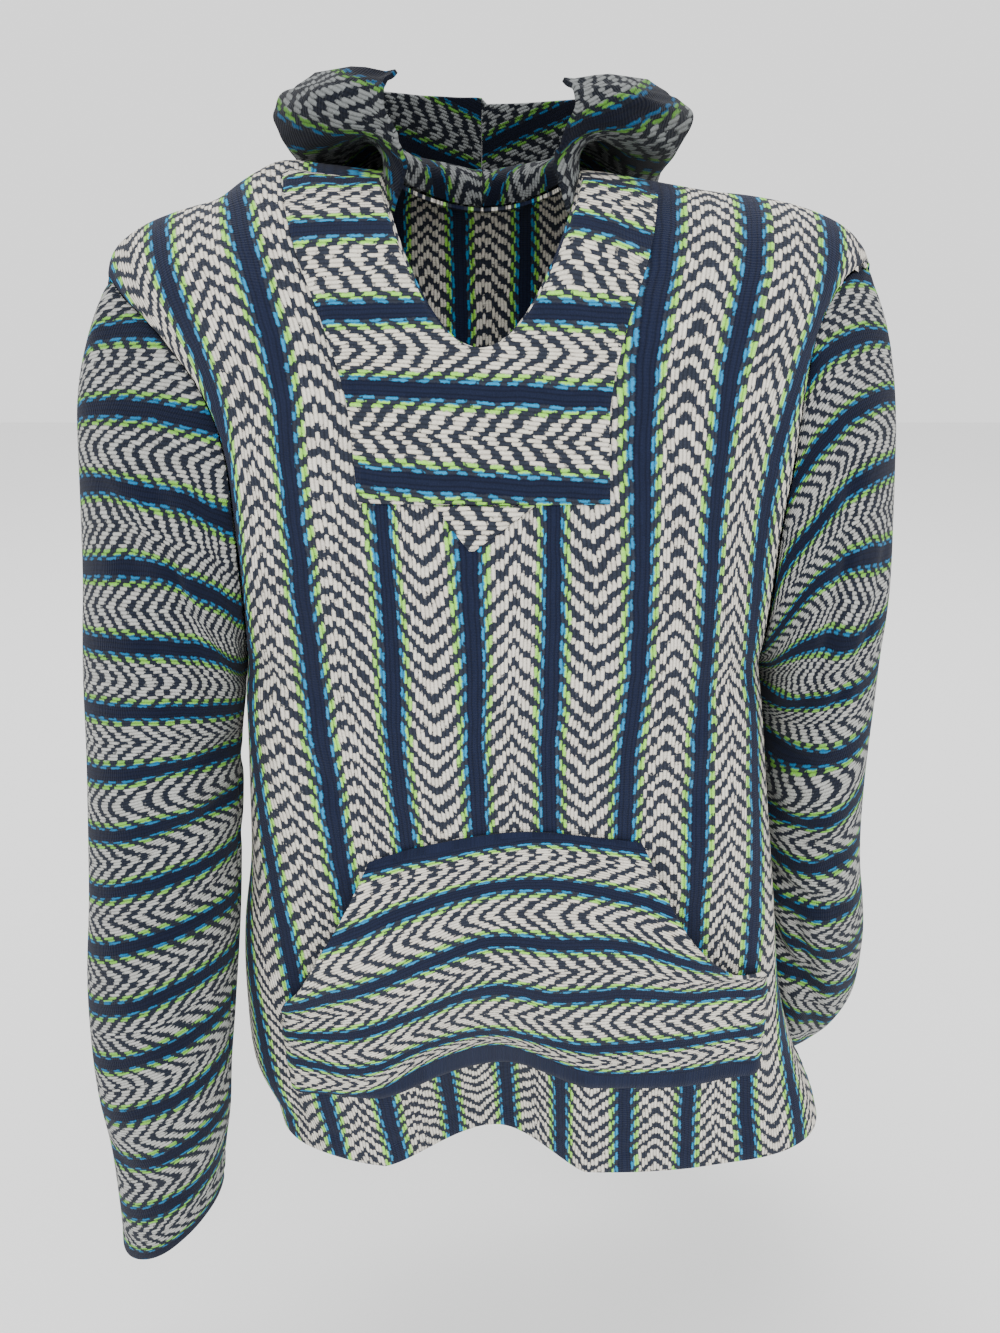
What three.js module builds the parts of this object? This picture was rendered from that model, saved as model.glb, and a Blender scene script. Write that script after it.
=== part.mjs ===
import * as THREE from "three";

// A pull-over hooded jacket of heavy blanket cloth, in millimetres.
// +Z is up and the front faces -Y. The origin lies between the shoulders, in the middle of
// the neck, where the wearer carries the garment.

const clothThickness = 2.4;
const seamGap = 0.3;
const neckGap = 1;
const armholeGap = 1.3;
const yokeLift = 1.1;
const pocketLift = 2;

const hemHeight = -661;
const armpitHeight = -285;
const shoulderEndHeight = -47;
const seamTopY = 3;

const neckMiddleX = -10.6;
const neckHalfWidth = 57;
const neckTopHeight = 13;
const frontNeckDepth = 94;
const backNeckDepth = 15;

const hemRows = 9;
const armholeRows = 12;
const sideColumns = 9;
const neckColumns = 14;

const hoodSteps = 15;
const pocketMouth = 13;
const pocketEase = 6;

const clothColour = 0x8f8a90;
const sleeveColour = 0x6f7183;
const hoodColour = 0x7b8794;
const yokeColour = 0x5f7f74;
const pocketColour = 0x5c7384;

function table(columns, rows) {
  return rows.map((row) => Object.fromEntries(columns.map((name, i) => [name, row[i]])));
}

// Outline of the front panel at each level: side seams below the armpits, armholes above.
const frontEdges = table(["level", "leftX", "leftY", "rightX", "rightY"], [
  [-661, -173, 4, 250, 2],
  [-640, -176, 2, 244, 0],
  [-600, -188, 0, 226, -6],
  [-540, -190, 0, 207, -18],
  [-480, -185, 2, 197, -20],
  [-420, -176, 4, 189, -14],
  [-340, -171, 4, 178, -5],
  [-300, -168.6, 1, 172.4, 0],
  [-285, -168, 0, 172, 0],
  [-269, -162, -37, 168, -37],
  [-245, -158, -58, 166, -59],
  [-203, -157, -68, 167, -67],
  [-165, -160, -67, 172, -65],
  [-136, -172, -58, 176, -57],
  [-105, -198, -40, 183, -47],
  [-79, -223, -19, 199, -28],
  [-58, -235, -6, 218, -8],
  [-47, -238, 3, 225, 3],
]);

// The same outline on the back panel, whose armholes are a little shallower.
const backEdges = table(["level", "leftX", "leftY", "rightX", "rightY"], [
  ...frontEdges.filter((row) => row.level <= armpitHeight).map((row) => Object.values(row)),
  [-269, -165, 34, 170, 35],
  [-245, -166, 53, 172, 55],
  [-203, -168, 64, 175, 66],
  [-165, -176, 64, 181, 64],
  [-136, -188, 57, 188, 58],
  [-105, -206, 44, 198, 46],
  [-79, -225, 28, 210, 30],
  [-58, -235, 13, 221, 14],
  [-47, -238, 3, 225, 3],
]);

// How far the middle of each panel stands from the side seams.
const depths = table(["height", "front", "back"], [
  [-661, 81, 92],
  [-600, 84, 90],
  [-540, 88, 87],
  [-450, 95, 84],
  [-380, 101, 86],
  [-285, 108, 99],
  [-217, 110, 108],
  [-150, 108, 112],
  [-80, 107, 112],
  [20, 107, 112],
]);

// The line over the shoulders, from one armhole past the neck to the other.
const shoulders = table(["x", "height"], [
  [-238, -47],
  [-233, -32],
  [-222, -22],
  [-206, -14],
  [-184, -7],
  [-165, -2],
  [-147, 9],
  [-126, 18],
  [-98, 16],
  [-67.6, 13],
  [46.4, 13],
  [84, 8],
  [123, 2],
  [144, 0],
  [168, -4],
  [186, -9],
  [203, -16],
  [214, -24],
  [221, -33],
  [225, -47],
]);

// Each sleeve ring by its outer and its inner point. half is its reach to the front and back,
// and keep is the share of the armhole's own shape that it still has.
const ringColumns = ["outX", "outY", "outZ", "inX", "inY", "inZ", "half", "keep"];
const leftRings = table(ringColumns, [
  [-238, 3, -47, -168, 0, -285, 66, 1],
  [-252, 0, -78, -170, -3, -291, 68, 0.72],
  [-262, -4, -112, -171, -6, -297, 70, 0.45],
  [-266, -8, -150, -172, -9, -304, 70, 0.24],
  [-268, -14, -197, -173, -14, -313, 68, 0.1],
  [-270, -20, -245, -174, -20, -325, 65, 0],
  [-272, -26, -294, -175, -26, -343, 62, 0],
  [-274, -32, -342, -176, -32, -369, 59, 0],
  [-277, -38, -391, -178, -38, -402, 57, 0],
  [-281, -45, -441, -180, -45, -441, 55, 0],
  [-286, -52, -493, -184, -52, -483, 53, 0],
  [-289, -57, -544, -189, -57, -528, 51, 0],
  [-289, -60, -595, -195, -59, -575, 48, 0],
  [-288, -60, -646, -200, -57, -622, 45, 0],
  [-289, -60, -699, -208, -54, -662, 42, 0],
  [-293, -59, -746, -212, -49, -692, 40, 0],
]);
const rightRings = table(ringColumns, [
  [225, 3, -47, 172, 0, -285, 66, 1],
  [236, 0, -76, 174, -2, -291, 68, 0.72],
  [243, -2, -108, 176, -3, -297, 69, 0.45],
  [246, -3, -148, 177, -3, -305, 68, 0.24],
  [250, -3, -195, 179, -3, -315, 66, 0.1],
  [250, -2, -240, 180, -2, -328, 63, 0],
  [250, 0, -288, 182, 0, -346, 60, 0],
  [253, 5, -338, 184, 5, -373, 57, 0],
  [260, 13, -393, 188, 14, -408, 55, 0],
  [271, 24, -446, 193, 27, -444, 53, 0],
  [284, 36, -500, 199, 44, -480, 52, 0],
  [295, 50, -556, 202, 62, -510, 51, 0],
  [298, 71, -621, 198, 82, -540, 51, 0],
  [283, 96, -671, 184, 103, -574, 50, 0],
  [258, 121, -706, 166, 126, -608, 48, 0],
  [228, 144, -732, 146, 148, -640, 46, 0],
  [200, 164, -752, 128, 166, -667, 44, 0],
]);

// Sections of the hood, which hangs back as an open pouch. Each is a row of points given by
// their distance from the middle of the neck and their height, at a bearing from the front.
const hoodPoints = ["stand", "over", "lay", "fold", "out", "rim"];
const hoodColumns = ["bearing", ...hoodPoints.flatMap((name) => [name + "R", name + "Z"])];
const hoodSections = table(hoodColumns, [
  [50, 62, 12, 65, 20, 70, 29, 76, 38, 76, 49, 66, 57],
  [70, 60, 22, 67, 28, 79, 27, 94, 31, 98, 48, 76, 62],
  [90, 59, 23, 68, 30, 87, 22, 110, 24, 121, 46, 94, 64],
  [115, 60, 22, 70, 28, 95, 17, 122, 12, 134, 42, 104, 69],
  [130, 60, 20, 75, 27, 112, 12, 142, -10, 153, 20, 114, 70],
  [145, 61, 16, 79, 24, 119, 2, 155, -106, 175, -34, 124, 70],
  [180, 62, 10, 82, 18, 116, -12, 149, -206, 186, -72, 130, 70],
]);

// Outer edges of the yoke, the striped panel sewn round the neck opening.
const yokeEdges = table(["height", "leftX", "rightX"], [
  [-163, -78, 60],
  [-108, -82, 59],
  [-68, -94, 67],
  [-24, -112, 81],
  [10, -121, 88],
]);
const yokeBottom = -163;
const yokeTopMargin = { middle: 1.5, side: 9 };
const yokeLimbColumns = 4;
const yokeRows = 12;

// The pointed end under the yoke.
const tabEnd = { leftX: -36, rightX: 19, pointX: -16, height: 25, columns: 4, rows: 3 };

// Side edges of the pocket: an upright seam, then the slanted mouth for the hand.
const pocketEdges = table(["share", "leftX", "leftZ", "rightX", "rightZ"], [
  [0, -151, -602, 186, -585],
  [0.34, -151, -527, 185, -503],
  [0.5, -133, -497, 152, -486],
  [0.72, -108, -451, 121, -448],
  [1, -83, -393, 88, -378],
]);
const pocketMouthStart = 0.34;
const pocketColumns = 18;
const pocketRows = 10;
const pocketBottomArch = 13;
const pocketTopArch = 18;

// The deep soft fold up the middle of the front, from the hem to half-way up the pocket.
const hemFold = { x: -3, top: -455, depth: 46, leftReach: 82, rightReach: 66, power: 1.35 };

// Shallow drapes: a bearing line from (x, z) to (endX, endZ), inwards where depth is positive.
const foldColumns = ["x", "z", "endX", "endZ", "reach", "depth"];
const frontDrapes = table(foldColumns, [
  [-120, -250, -60, -400, 26, 4],
  [140, -230, 96, -380, 24, 4],
  [150, -420, 168, -640, 22, 5],
  [-118, -430, -128, -640, 20, 4],
]);
const backDrapes = table(foldColumns, [
  [-20, -330, -46, -661, 34, 14],
  [84, -380, 96, -661, 28, 11],
  [-126, -300, -112, -640, 26, 9],
  [150, -330, 152, -520, 22, 6],
  [-130, -170, -40, -270, 24, 5],
  [130, -170, 44, -280, 24, 5],
]);

function smooth(low, high, value) {
  const share = Math.min(Math.max((value - low) / (high - low), 0), 1);
  return share * share * (3 - 2 * share);
}

function mix(a, b, share) {
  return a + (b - a) * share;
}

// A smooth curve through one column of a table, read by its key column.
function curveOf(rows, keyName, valueName) {
  const keys = rows.map((row) => row[keyName]);
  const values = rows.map((row) => row[valueName]);
  const last = rows.length - 1;
  const slopes = values.map((value, i) => {
    const before = Math.max(i - 1, 0);
    const after = Math.min(i + 1, last);
    return (values[after] - values[before]) / (keys[after] - keys[before]);
  });
  return (key) => {
    if (key <= keys[0]) {
      return values[0];
    }
    if (key >= keys[last]) {
      return values[last];
    }
    let i = 0;
    while (key > keys[i + 1]) {
      i += 1;
    }
    const step = keys[i + 1] - keys[i];
    const f = (key - keys[i]) / step;
    const rise = (1 - f) * (1 - f) * f * slopes[i] - f * f * (1 - f) * slopes[i + 1];
    return mix(values[i], values[i + 1], f * f * (3 - 2 * f)) + rise * step;
  };
}

const shoulderLine = curveOf(shoulders, "x", "height");

function readerOf(rows, keyName) {
  const names = Object.keys(rows[0]).filter((name) => name !== keyName);
  return Object.fromEntries(names.map((name) => [name, curveOf(rows, keyName, name)]));
}

// Depth of all the drapes of one panel at a place on it.
function drapeDepth(drapes, x, z) {
  let sum = 0;
  for (const drape of drapes) {
    const alongX = drape.endX - drape.x;
    const alongZ = drape.endZ - drape.z;
    const length = Math.hypot(alongX, alongZ);
    const share = ((x - drape.x) * alongX + (z - drape.z) * alongZ) / (length * length);
    const off = ((x - drape.x) * alongZ - (z - drape.z) * alongX) / length / drape.reach;
    const ends = smooth(-0.1, 0.3, share) * (1 - smooth(0.9, 1.2, share));
    sum += drape.depth * ends * Math.exp(-off * off);
  }
  return sum;
}

function hemFoldDepth(x, z) {
  const off = x - hemFold.x;
  const reach = off < 0 ? hemFold.leftReach : hemFold.rightReach;
  if (Math.abs(off) >= reach) {
    return 0;
  }
  const across = Math.cos((Math.PI / 2) * (off / reach)) ** hemFold.power;
  return hemFold.depth * across * smooth(hemFold.top, hemHeight, z);
}

const panels = {
  front: {
    side: -1,
    edges: readerOf(frontEdges, "level"),
    depth: curveOf(depths, "height", "front"),
    roundness: { low: 3, high: 2.4 },
    rollHeight: { middle: 177, side: 90 },
    folds: (x, z) => hemFoldDepth(x, z) + drapeDepth(frontDrapes, x, z),
  },
  back: {
    side: 1,
    edges: readerOf(backEdges, "level"),
    depth: curveOf(depths, "height", "back"),
    roundness: { low: 2.3, high: 2.4 },
    rollHeight: { middle: 92, side: 70 },
    folds: (x, z) => drapeDepth(backDrapes, x, z),
  },
};

// The level of a point is its height, stretched above the armpits so that the sloping
// shoulder line has one level, that of the end of the shoulder.
function levelOf(x, z) {
  if (z <= armpitHeight) {
    return z;
  }
  const share = (z - armpitHeight) / (shoulderLine(x) - armpitHeight);
  return mix(armpitHeight, shoulderEndHeight, Math.min(share, 1));
}

// A point of a body panel's outer face, by its place as seen from the front.
function panelPoint(panel, x, z) {
  const level = levelOf(x, z);
  const left = panel.edges.leftX(level);
  const right = panel.edges.rightX(level);
  const s = Math.min(Math.max((2 * x - left - right) / (right - left), -1), 1);
  const edgeY = mix(panel.edges.leftY(level), panel.edges.rightY(level), (s + 1) / 2);
  const upper = smooth(armpitHeight - 20, armpitHeight + 45, level);
  const power = mix(panel.roundness.low, panel.roundness.high, upper);
  const bend = mix(1 / panel.roundness.low, 0.72, upper);
  const bulge = Math.max(1 - Math.abs(s) ** power, 0) ** bend;
  const rollHeight = mix(panel.rollHeight.middle, panel.rollHeight.side, s * s);
  const drop = Math.min(Math.max((shoulderLine(x) - z) / rollHeight, 0), 1);
  const roll = Math.sqrt(1 - (1 - drop) * (1 - drop));
  const full = panel.side * panel.depth(z);
  const middleY = mix(seamTopY, full, roll) - panel.side * panel.folds(x, z);
  return new THREE.Vector3(x, mix(edgeY, middleY, bulge), z);
}

function panelNormal(panel, x, z) {
  const d = 1.5;
  const across = panelPoint(panel, x + d, z).sub(panelPoint(panel, x - d, z));
  const up = panelPoint(panel, x, z + d).sub(panelPoint(panel, x, z - d));
  return across.cross(up).multiplyScalar(-panel.side).normalize();
}

// Height of the panel's top edge: the shoulder line, or the neck opening's edge.
function topEdge(x, neckDepth) {
  const off = (x - neckMiddleX) / neckHalfWidth;
  if (Math.abs(off) >= 1) {
    return shoulderLine(x);
  }
  return neckTopHeight - neckDepth * (1 - off * off);
}

const topLeft = frontEdges.at(-1).leftX;
const topRight = frontEdges.at(-1).rightX;
const topMiddle = (topLeft + topRight) / 2;
const topHalf = (topRight - topLeft) / 2;
const neckLeft = (neckMiddleX - neckHalfWidth - topMiddle) / topHalf;
const neckRight = (neckMiddleX + neckHalfWidth - topMiddle) / topHalf;

// Columns across a panel from -1 to 1, closest together at the side seams.
function panelColumns() {
  const columns = [];
  for (let i = 0; i < sideColumns; i += 1) {
    const inwards = 1 - Math.cos((Math.PI / 2) * (i / sideColumns));
    columns.push(mix(-1, neckLeft, inwards));
  }
  for (let i = 0; i <= neckColumns; i += 1) {
    columns.push(mix(neckLeft, neckRight, i / neckColumns));
  }
  for (let i = sideColumns - 1; i >= 0; i -= 1) {
    const inwards = 1 - Math.cos((Math.PI / 2) * (i / sideColumns));
    columns.push(mix(1, neckRight, inwards));
  }
  return columns;
}

function panelLevels() {
  const levels = [];
  for (let i = 0; i < hemRows; i += 1) {
    levels.push(mix(hemHeight, armpitHeight, i / hemRows));
  }
  for (let i = 0; i <= armholeRows; i += 1) {
    const share = (1 - Math.cos((Math.PI * i) / armholeRows)) / 2;
    levels.push(mix(armpitHeight, shoulderEndHeight, share));
  }
  return levels;
}

// The rows of a body panel, from the hem to the shoulder line, each from left to right.
function panelGrid(panel, neckDepth) {
  return panelLevels().map((level) => {
    const left = panel.edges.leftX(level);
    const right = panel.edges.rightX(level);
    return panelColumns().map((column) => {
      const own = mix(left, right, (column + 1) / 2);
      const straight = topMiddle + column * topHalf;
      const hold = smooth(armpitHeight, -150, level) * (1 - smooth(0.45, 1, Math.abs(column)));
      const x = mix(own, straight, hold);
      const upper = Math.max(level - armpitHeight, 0) / (shoulderEndHeight - armpitHeight);
      const z = upper > 0 ? mix(armpitHeight, topEdge(x, neckDepth), upper) : level;
      return panelPoint(panel, x, z);
    });
  });
}

// The rings of a sleeve. Each starts at the shoulder and runs down the front, past the
// underarm seam and up the back. The first is the armhole itself.
function sleeveGrid(rows, armhole) {
  const middles = rows.map(
    (row) => new THREE.Vector3(row.outX + row.inX, row.outY + row.inY, row.outZ + row.inZ).multiplyScalar(0.5),
  );
  const count = armhole.length;
  const rings = rows.map((row, i) => {
    const before = middles[Math.max(i - 1, 0)];
    const after = middles[Math.min(i + 1, rows.length - 1)];
    const along = after.clone().sub(before).normalize();
    const out = new THREE.Vector3(row.outX, row.outY, row.outZ).sub(middles[i]);
    const fore = along.clone().cross(out).normalize().multiplyScalar(row.half);
    if (fore.y > 0) {
      fore.negate();
    }
    const ring = [];
    for (let j = 0; j < count; j += 1) {
      const angle = (2 * Math.PI * j) / count;
      const point = middles[i].clone().addScaledVector(out, Math.cos(angle));
      ring.push(point.addScaledVector(fore, Math.sin(angle)));
    }
    return ring;
  });
  const first = rings[0];
  const shape = armhole.map((point, j) => point.clone().sub(first[j]));
  return rings.map((ring, i) => ring.map((point, j) => point.clone().addScaledVector(shape[j], rows[i].keep)));
}

// The loop of an armhole, taken from the edges of both body panels.
function armholeOf(front, back, column) {
  const down = [];
  for (let i = armholeRows; i >= 0; i -= 1) {
    down.push(front[hemRows + i].at(column).clone());
  }
  for (let i = 1; i < armholeRows; i += 1) {
    down.push(back[hemRows + i].at(column).clone());
  }
  return down;
}

// One section of the hood, from the neck seam out, down, and up again to the rim.
const hoodReader = readerOf(hoodSections, "bearing");

function hoodSection(seam) {
  const offX = seam.x - neckMiddleX;
  const bearing = THREE.MathUtils.radToDeg(Math.atan2(Math.abs(offX), -seam.y));
  const sign = offX < 0 ? -1 : 1;
  const reach = Math.hypot(offX, seam.y);
  const awayX = offX / reach;
  const awayY = seam.y / reach;
  const points = [seam.clone()];
  for (const name of hoodPoints) {
    const r = hoodReader[name + "R"](bearing);
    const z = hoodReader[name + "Z"](bearing);
    const tilt = sign > 0 ? -4 * smooth(30, 60, z) : 0;
    points.push(new THREE.Vector3(neckMiddleX + awayX * r, awayY * r, z + tilt));
  }
  const curve = new THREE.CatmullRomCurve3(points, false, "centripetal");
  return curve.getSpacedPoints(hoodSteps);
}

// The neck seam, from the left end of the opening round the back to the right end.
function neckSeam(front, back) {
  const first = sideColumns;
  const last = sideColumns + neckColumns;
  const seam = [front.at(-1)[first + 1].clone()];
  for (let i = first; i <= last; i += 1) {
    seam.push(back.at(-1)[i].clone());
  }
  seam.push(front.at(-1)[last - 1].clone());
  return seam;
}

// A panel that lies on the front, moved out along the front's own normals.
function overlayPoint(x, z, lift) {
  const normal = panelNormal(panels.front, x, z);
  return panelPoint(panels.front, x, z).addScaledVector(normal, lift + clothThickness);
}

function yokeGrid() {
  const left = curveOf(yokeEdges, "height", "leftX");
  const right = curveOf(yokeEdges, "height", "rightX");
  const rows = [];
  for (let i = 0; i <= yokeRows; i += 1) {
    const share = 1 - (1 - i / yokeRows) ** 2;
    const height = mix(yokeBottom, neckTopHeight, share);
    const xs = [];
    for (let j = 0; j < yokeLimbColumns; j += 1) {
      xs.push(mix(left(height), neckMiddleX - neckHalfWidth, j / yokeLimbColumns));
    }
    for (let j = 0; j <= neckColumns; j += 1) {
      xs.push(neckMiddleX + neckHalfWidth * mix(-1, 1, j / neckColumns));
    }
    for (let j = yokeLimbColumns - 1; j >= 0; j -= 1) {
      xs.push(mix(right(height), neckMiddleX + neckHalfWidth, j / yokeLimbColumns));
    }
    rows.push(
      xs.map((x) => {
        const off = Math.min(Math.abs(x - neckMiddleX) / neckHalfWidth, 1);
        const margin = mix(yokeTopMargin.middle, yokeTopMargin.side, off * off);
        const top = topEdge(x, frontNeckDepth) - margin;
        return overlayPoint(x, mix(yokeBottom, top, share), yokeLift);
      }),
    );
  }
  return rows;
}

function tabGrid() {
  const rows = [];
  for (let i = 0; i <= tabEnd.rows; i += 1) {
    const share = i / tabEnd.rows;
    const row = [];
    for (let j = 0; j <= tabEnd.columns; j += 1) {
      const width = mix(0.12, 1, share);
      const left = mix(tabEnd.pointX, tabEnd.leftX, width);
      const right = mix(tabEnd.pointX, tabEnd.rightX, width);
      const x = mix(left, right, j / tabEnd.columns);
      const z = yokeBottom - 0.6 - tabEnd.height * (1 - share);
      row.push(overlayPoint(x, z, yokeLift));
    }
    rows.push(row);
  }
  return rows;
}

function pocketGrid() {
  const edge = readerOf(pocketEdges, "share");
  const rows = [];
  for (let i = 0; i <= pocketRows; i += 1) {
    const share = i / pocketRows;
    const row = [];
    for (let j = 0; j <= pocketColumns; j += 1) {
      const across = j / pocketColumns;
      const arch = mix(pocketBottomArch, pocketTopArch, share) * Math.sin(Math.PI * across);
      const x = mix(edge.leftX(share), edge.rightX(share), across);
      const z = mix(edge.leftZ(share), edge.rightZ(share), across) + arch;
      const open = Math.max((share - pocketMouthStart) / (1 - pocketMouthStart), 0);
      const mouth = pocketMouth * Math.sin(Math.PI * open) * (1 - 2 * across) ** 2;
      const ease = pocketEase * Math.sin(Math.PI * share) * Math.sin(Math.PI * across);
      row.push(overlayPoint(x, z, pocketLift + mouth + ease));
    }
    rows.push(row);
  }
  return rows;
}

// Normals of a grid of points, by the differences to its neighbours.
function gridNormals(grid, closed) {
  const rowCount = grid.length;
  const count = grid[0].length;
  return grid.map((row, i) =>
    row.map((point, j) => {
      const before = closed ? (j + count - 1) % count : Math.max(j - 1, 0);
      const after = closed ? (j + 1) % count : Math.min(j + 1, count - 1);
      const across = row[after].clone().sub(row[before]).normalize();
      const below = grid[Math.max(i - 1, 0)][j];
      const above = grid[Math.min(i + 1, rowCount - 1)][j];
      return across.cross(above.clone().sub(below).normalize()).normalize();
    }),
  );
}

function makePiece(name, colour, grid, options = {}) {
  const closed = options.closed ?? false;
  const facing = options.facing ?? 1;
  const normals = gridNormals(grid, closed);
  for (const row of normals) {
    for (const normal of row) {
      normal.multiplyScalar(facing);
    }
  }
  const gap = options.gap ?? seamGap;
  return { name, colour, grid, normals, closed, gap };
}

function edgePlaces(piece) {
  const places = [];
  const lastRow = piece.grid.length - 1;
  const lastColumn = piece.grid[0].length - 1;
  for (let i = 0; i <= lastRow; i += 1) {
    for (let j = 0; j <= lastColumn; j += 1) {
      const end = i === 0 || i === lastRow;
      const side = !piece.closed && (j === 0 || j === lastColumn);
      if (end || side) {
        places.push({ piece, i, j, end, side });
      }
    }
  }
  return places;
}

// Pieces that meet at a seam share one normal there, so that their cut edges face each other.
// In a crease, as under the arm, each keeps its own.
function shareSeamNormals(pieces) {
  const near = 0.05;
  const places = pieces.flatMap(edgePlaces);
  const found = places.map((place) => {
    const point = place.piece.grid[place.i][place.j];
    const sum = new THREE.Vector3();
    for (const other of places) {
      const normal = other.piece.normals[other.i][other.j];
      const meets = other.piece.grid[other.i][other.j].distanceTo(point) < near;
      if (meets && normal.dot(place.piece.normals[place.i][place.j]) > 0) {
        sum.add(normal);
      }
    }
    return sum.normalize();
  });
  places.forEach((place, k) => place.piece.normals[place.i][place.j].copy(found[k]));
}

// Each piece draws back from its seams by half the gap, the hood from the neck by more.
function drawBack(piece) {
  const { grid, normals } = piece;
  const moves = edgePlaces(piece).map(({ i, j, end, side }) => {
    const point = grid[i][j];
    const move = new THREE.Vector3();
    const steps = [];
    if (end) {
      steps.push(grid[i === 0 ? 1 : i - 1][j]);
    }
    if (side) {
      steps.push(grid[i][j === 0 ? 1 : j - 1]);
    }
    for (const step of steps) {
      const towards = step.clone().sub(point);
      towards.addScaledVector(normals[i][j], -towards.dot(normals[i][j]));
      move.addScaledVector(towards.normalize(), piece.gap / 2);
    }
    return { point, move };
  });
  for (const { point, move } of moves) {
    point.add(move);
  }
}

// A closed wall of cloth: the outer face, the inner face and the cut edges between them.
function clothMesh(piece) {
  const { grid, normals, closed } = piece;
  const rowCount = grid.length;
  const count = grid[0].length;
  const positions = [];
  for (const depth of [0, clothThickness]) {
    for (let i = 0; i < rowCount; i += 1) {
      for (let j = 0; j < count; j += 1) {
        const point = grid[i][j].clone().addScaledVector(normals[i][j], -depth);
        positions.push(point.x, point.y, point.z);
      }
    }
  }
  const inside = rowCount * count;
  const at = (i, j, layer) => layer * inside + i * count + (j % count);
  const indices = [];
  const quad = (a, b, c, d) => {
    indices.push(a, b, c, a, c, d);
  };
  const columnCount = closed ? count : count - 1;
  for (let i = 0; i < rowCount - 1; i += 1) {
    for (let j = 0; j < columnCount; j += 1) {
      quad(at(i, j, 0), at(i, j + 1, 0), at(i + 1, j + 1, 0), at(i + 1, j, 0));
      quad(at(i, j, 1), at(i + 1, j, 1), at(i + 1, j + 1, 1), at(i, j + 1, 1));
    }
  }
  for (let j = 0; j < columnCount; j += 1) {
    const top = rowCount - 1;
    quad(at(0, j, 0), at(0, j, 1), at(0, j + 1, 1), at(0, j + 1, 0));
    quad(at(top, j, 0), at(top, j + 1, 0), at(top, j + 1, 1), at(top, j, 1));
  }
  if (!closed) {
    const side = count - 1;
    for (let i = 0; i < rowCount - 1; i += 1) {
      quad(at(i, 0, 0), at(i + 1, 0, 0), at(i + 1, 0, 1), at(i, 0, 1));
      quad(at(i, side, 0), at(i, side, 1), at(i + 1, side, 1), at(i + 1, side, 0));
    }
  }
  const geometry = new THREE.BufferGeometry();
  geometry.setAttribute("position", new THREE.Float32BufferAttribute(positions, 3));
  geometry.setIndex(indices);
  if (enclosedVolume(positions, indices) < 0) {
    geometry.index.array.reverse();
  }
  geometry.computeVertexNormals();
  const material = new THREE.MeshStandardMaterial({ color: piece.colour, roughness: 0.95, metalness: 0 });
  const mesh = new THREE.Mesh(geometry, material);
  mesh.name = piece.name;
  return mesh;
}

function enclosedVolume(positions, indices) {
  const corner = (k) => new THREE.Vector3().fromArray(positions, 3 * indices[k]);
  let sum = 0;
  for (let k = 0; k < indices.length; k += 3) {
    sum += corner(k).dot(corner(k + 1).cross(corner(k + 2))) / 6;
  }
  return sum;
}

const frontGrid = panelGrid(panels.front, frontNeckDepth);
const backGrid = panelGrid(panels.back, backNeckDepth);
const leftSleeve = sleeveGrid(leftRings, armholeOf(frontGrid, backGrid, 0));
const rightSleeve = sleeveGrid(rightRings, armholeOf(frontGrid, backGrid, -1));
const seam = neckSeam(frontGrid, backGrid);
const hoodRows = seam.map((point) => hoodSection(point));
const hoodMiddle = (seam.length - 1) / 2;

const sewn = [
  makePiece("front_panel", clothColour, frontGrid),
  makePiece("back_panel", clothColour, backGrid, { facing: -1 }),
  makePiece("left_sleeve", sleeveColour, leftSleeve, { closed: true, facing: -1, gap: armholeGap }),
  makePiece("right_sleeve", sleeveColour, rightSleeve, { closed: true, gap: armholeGap }),
  makePiece("hood_left", hoodColour, hoodRows.slice(0, hoodMiddle + 1), { gap: neckGap }),
  makePiece("hood_right", hoodColour, hoodRows.slice(hoodMiddle), { gap: neckGap }),
];
const laidOn = [
  makePiece("yoke", yokeColour, yokeGrid()),
  makePiece("yoke_tab", yokeColour, tabGrid()),
  makePiece("pocket", pocketColour, pocketGrid()),
];
shareSeamNormals(sewn);
sewn.forEach(drawBack);

const garment = new THREE.Group();
for (const piece of [...sewn, ...laidOn]) {
  garment.add(clothMesh(piece));
}

export default garment;
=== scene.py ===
import math

import bpy
import numpy as np
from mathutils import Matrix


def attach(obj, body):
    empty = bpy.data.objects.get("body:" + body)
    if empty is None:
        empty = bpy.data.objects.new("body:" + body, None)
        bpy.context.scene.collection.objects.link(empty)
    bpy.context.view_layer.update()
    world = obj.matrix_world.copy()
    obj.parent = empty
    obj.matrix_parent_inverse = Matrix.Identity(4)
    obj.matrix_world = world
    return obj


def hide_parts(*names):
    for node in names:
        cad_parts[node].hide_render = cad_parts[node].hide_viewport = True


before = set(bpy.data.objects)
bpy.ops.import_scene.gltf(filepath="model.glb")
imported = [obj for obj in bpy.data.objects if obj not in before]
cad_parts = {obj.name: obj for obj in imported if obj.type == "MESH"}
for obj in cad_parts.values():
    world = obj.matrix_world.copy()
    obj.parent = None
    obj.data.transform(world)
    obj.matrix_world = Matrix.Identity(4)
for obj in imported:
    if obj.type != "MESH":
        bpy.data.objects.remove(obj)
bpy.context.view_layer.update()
print("solids loaded")

millimetre = 0.001

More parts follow.
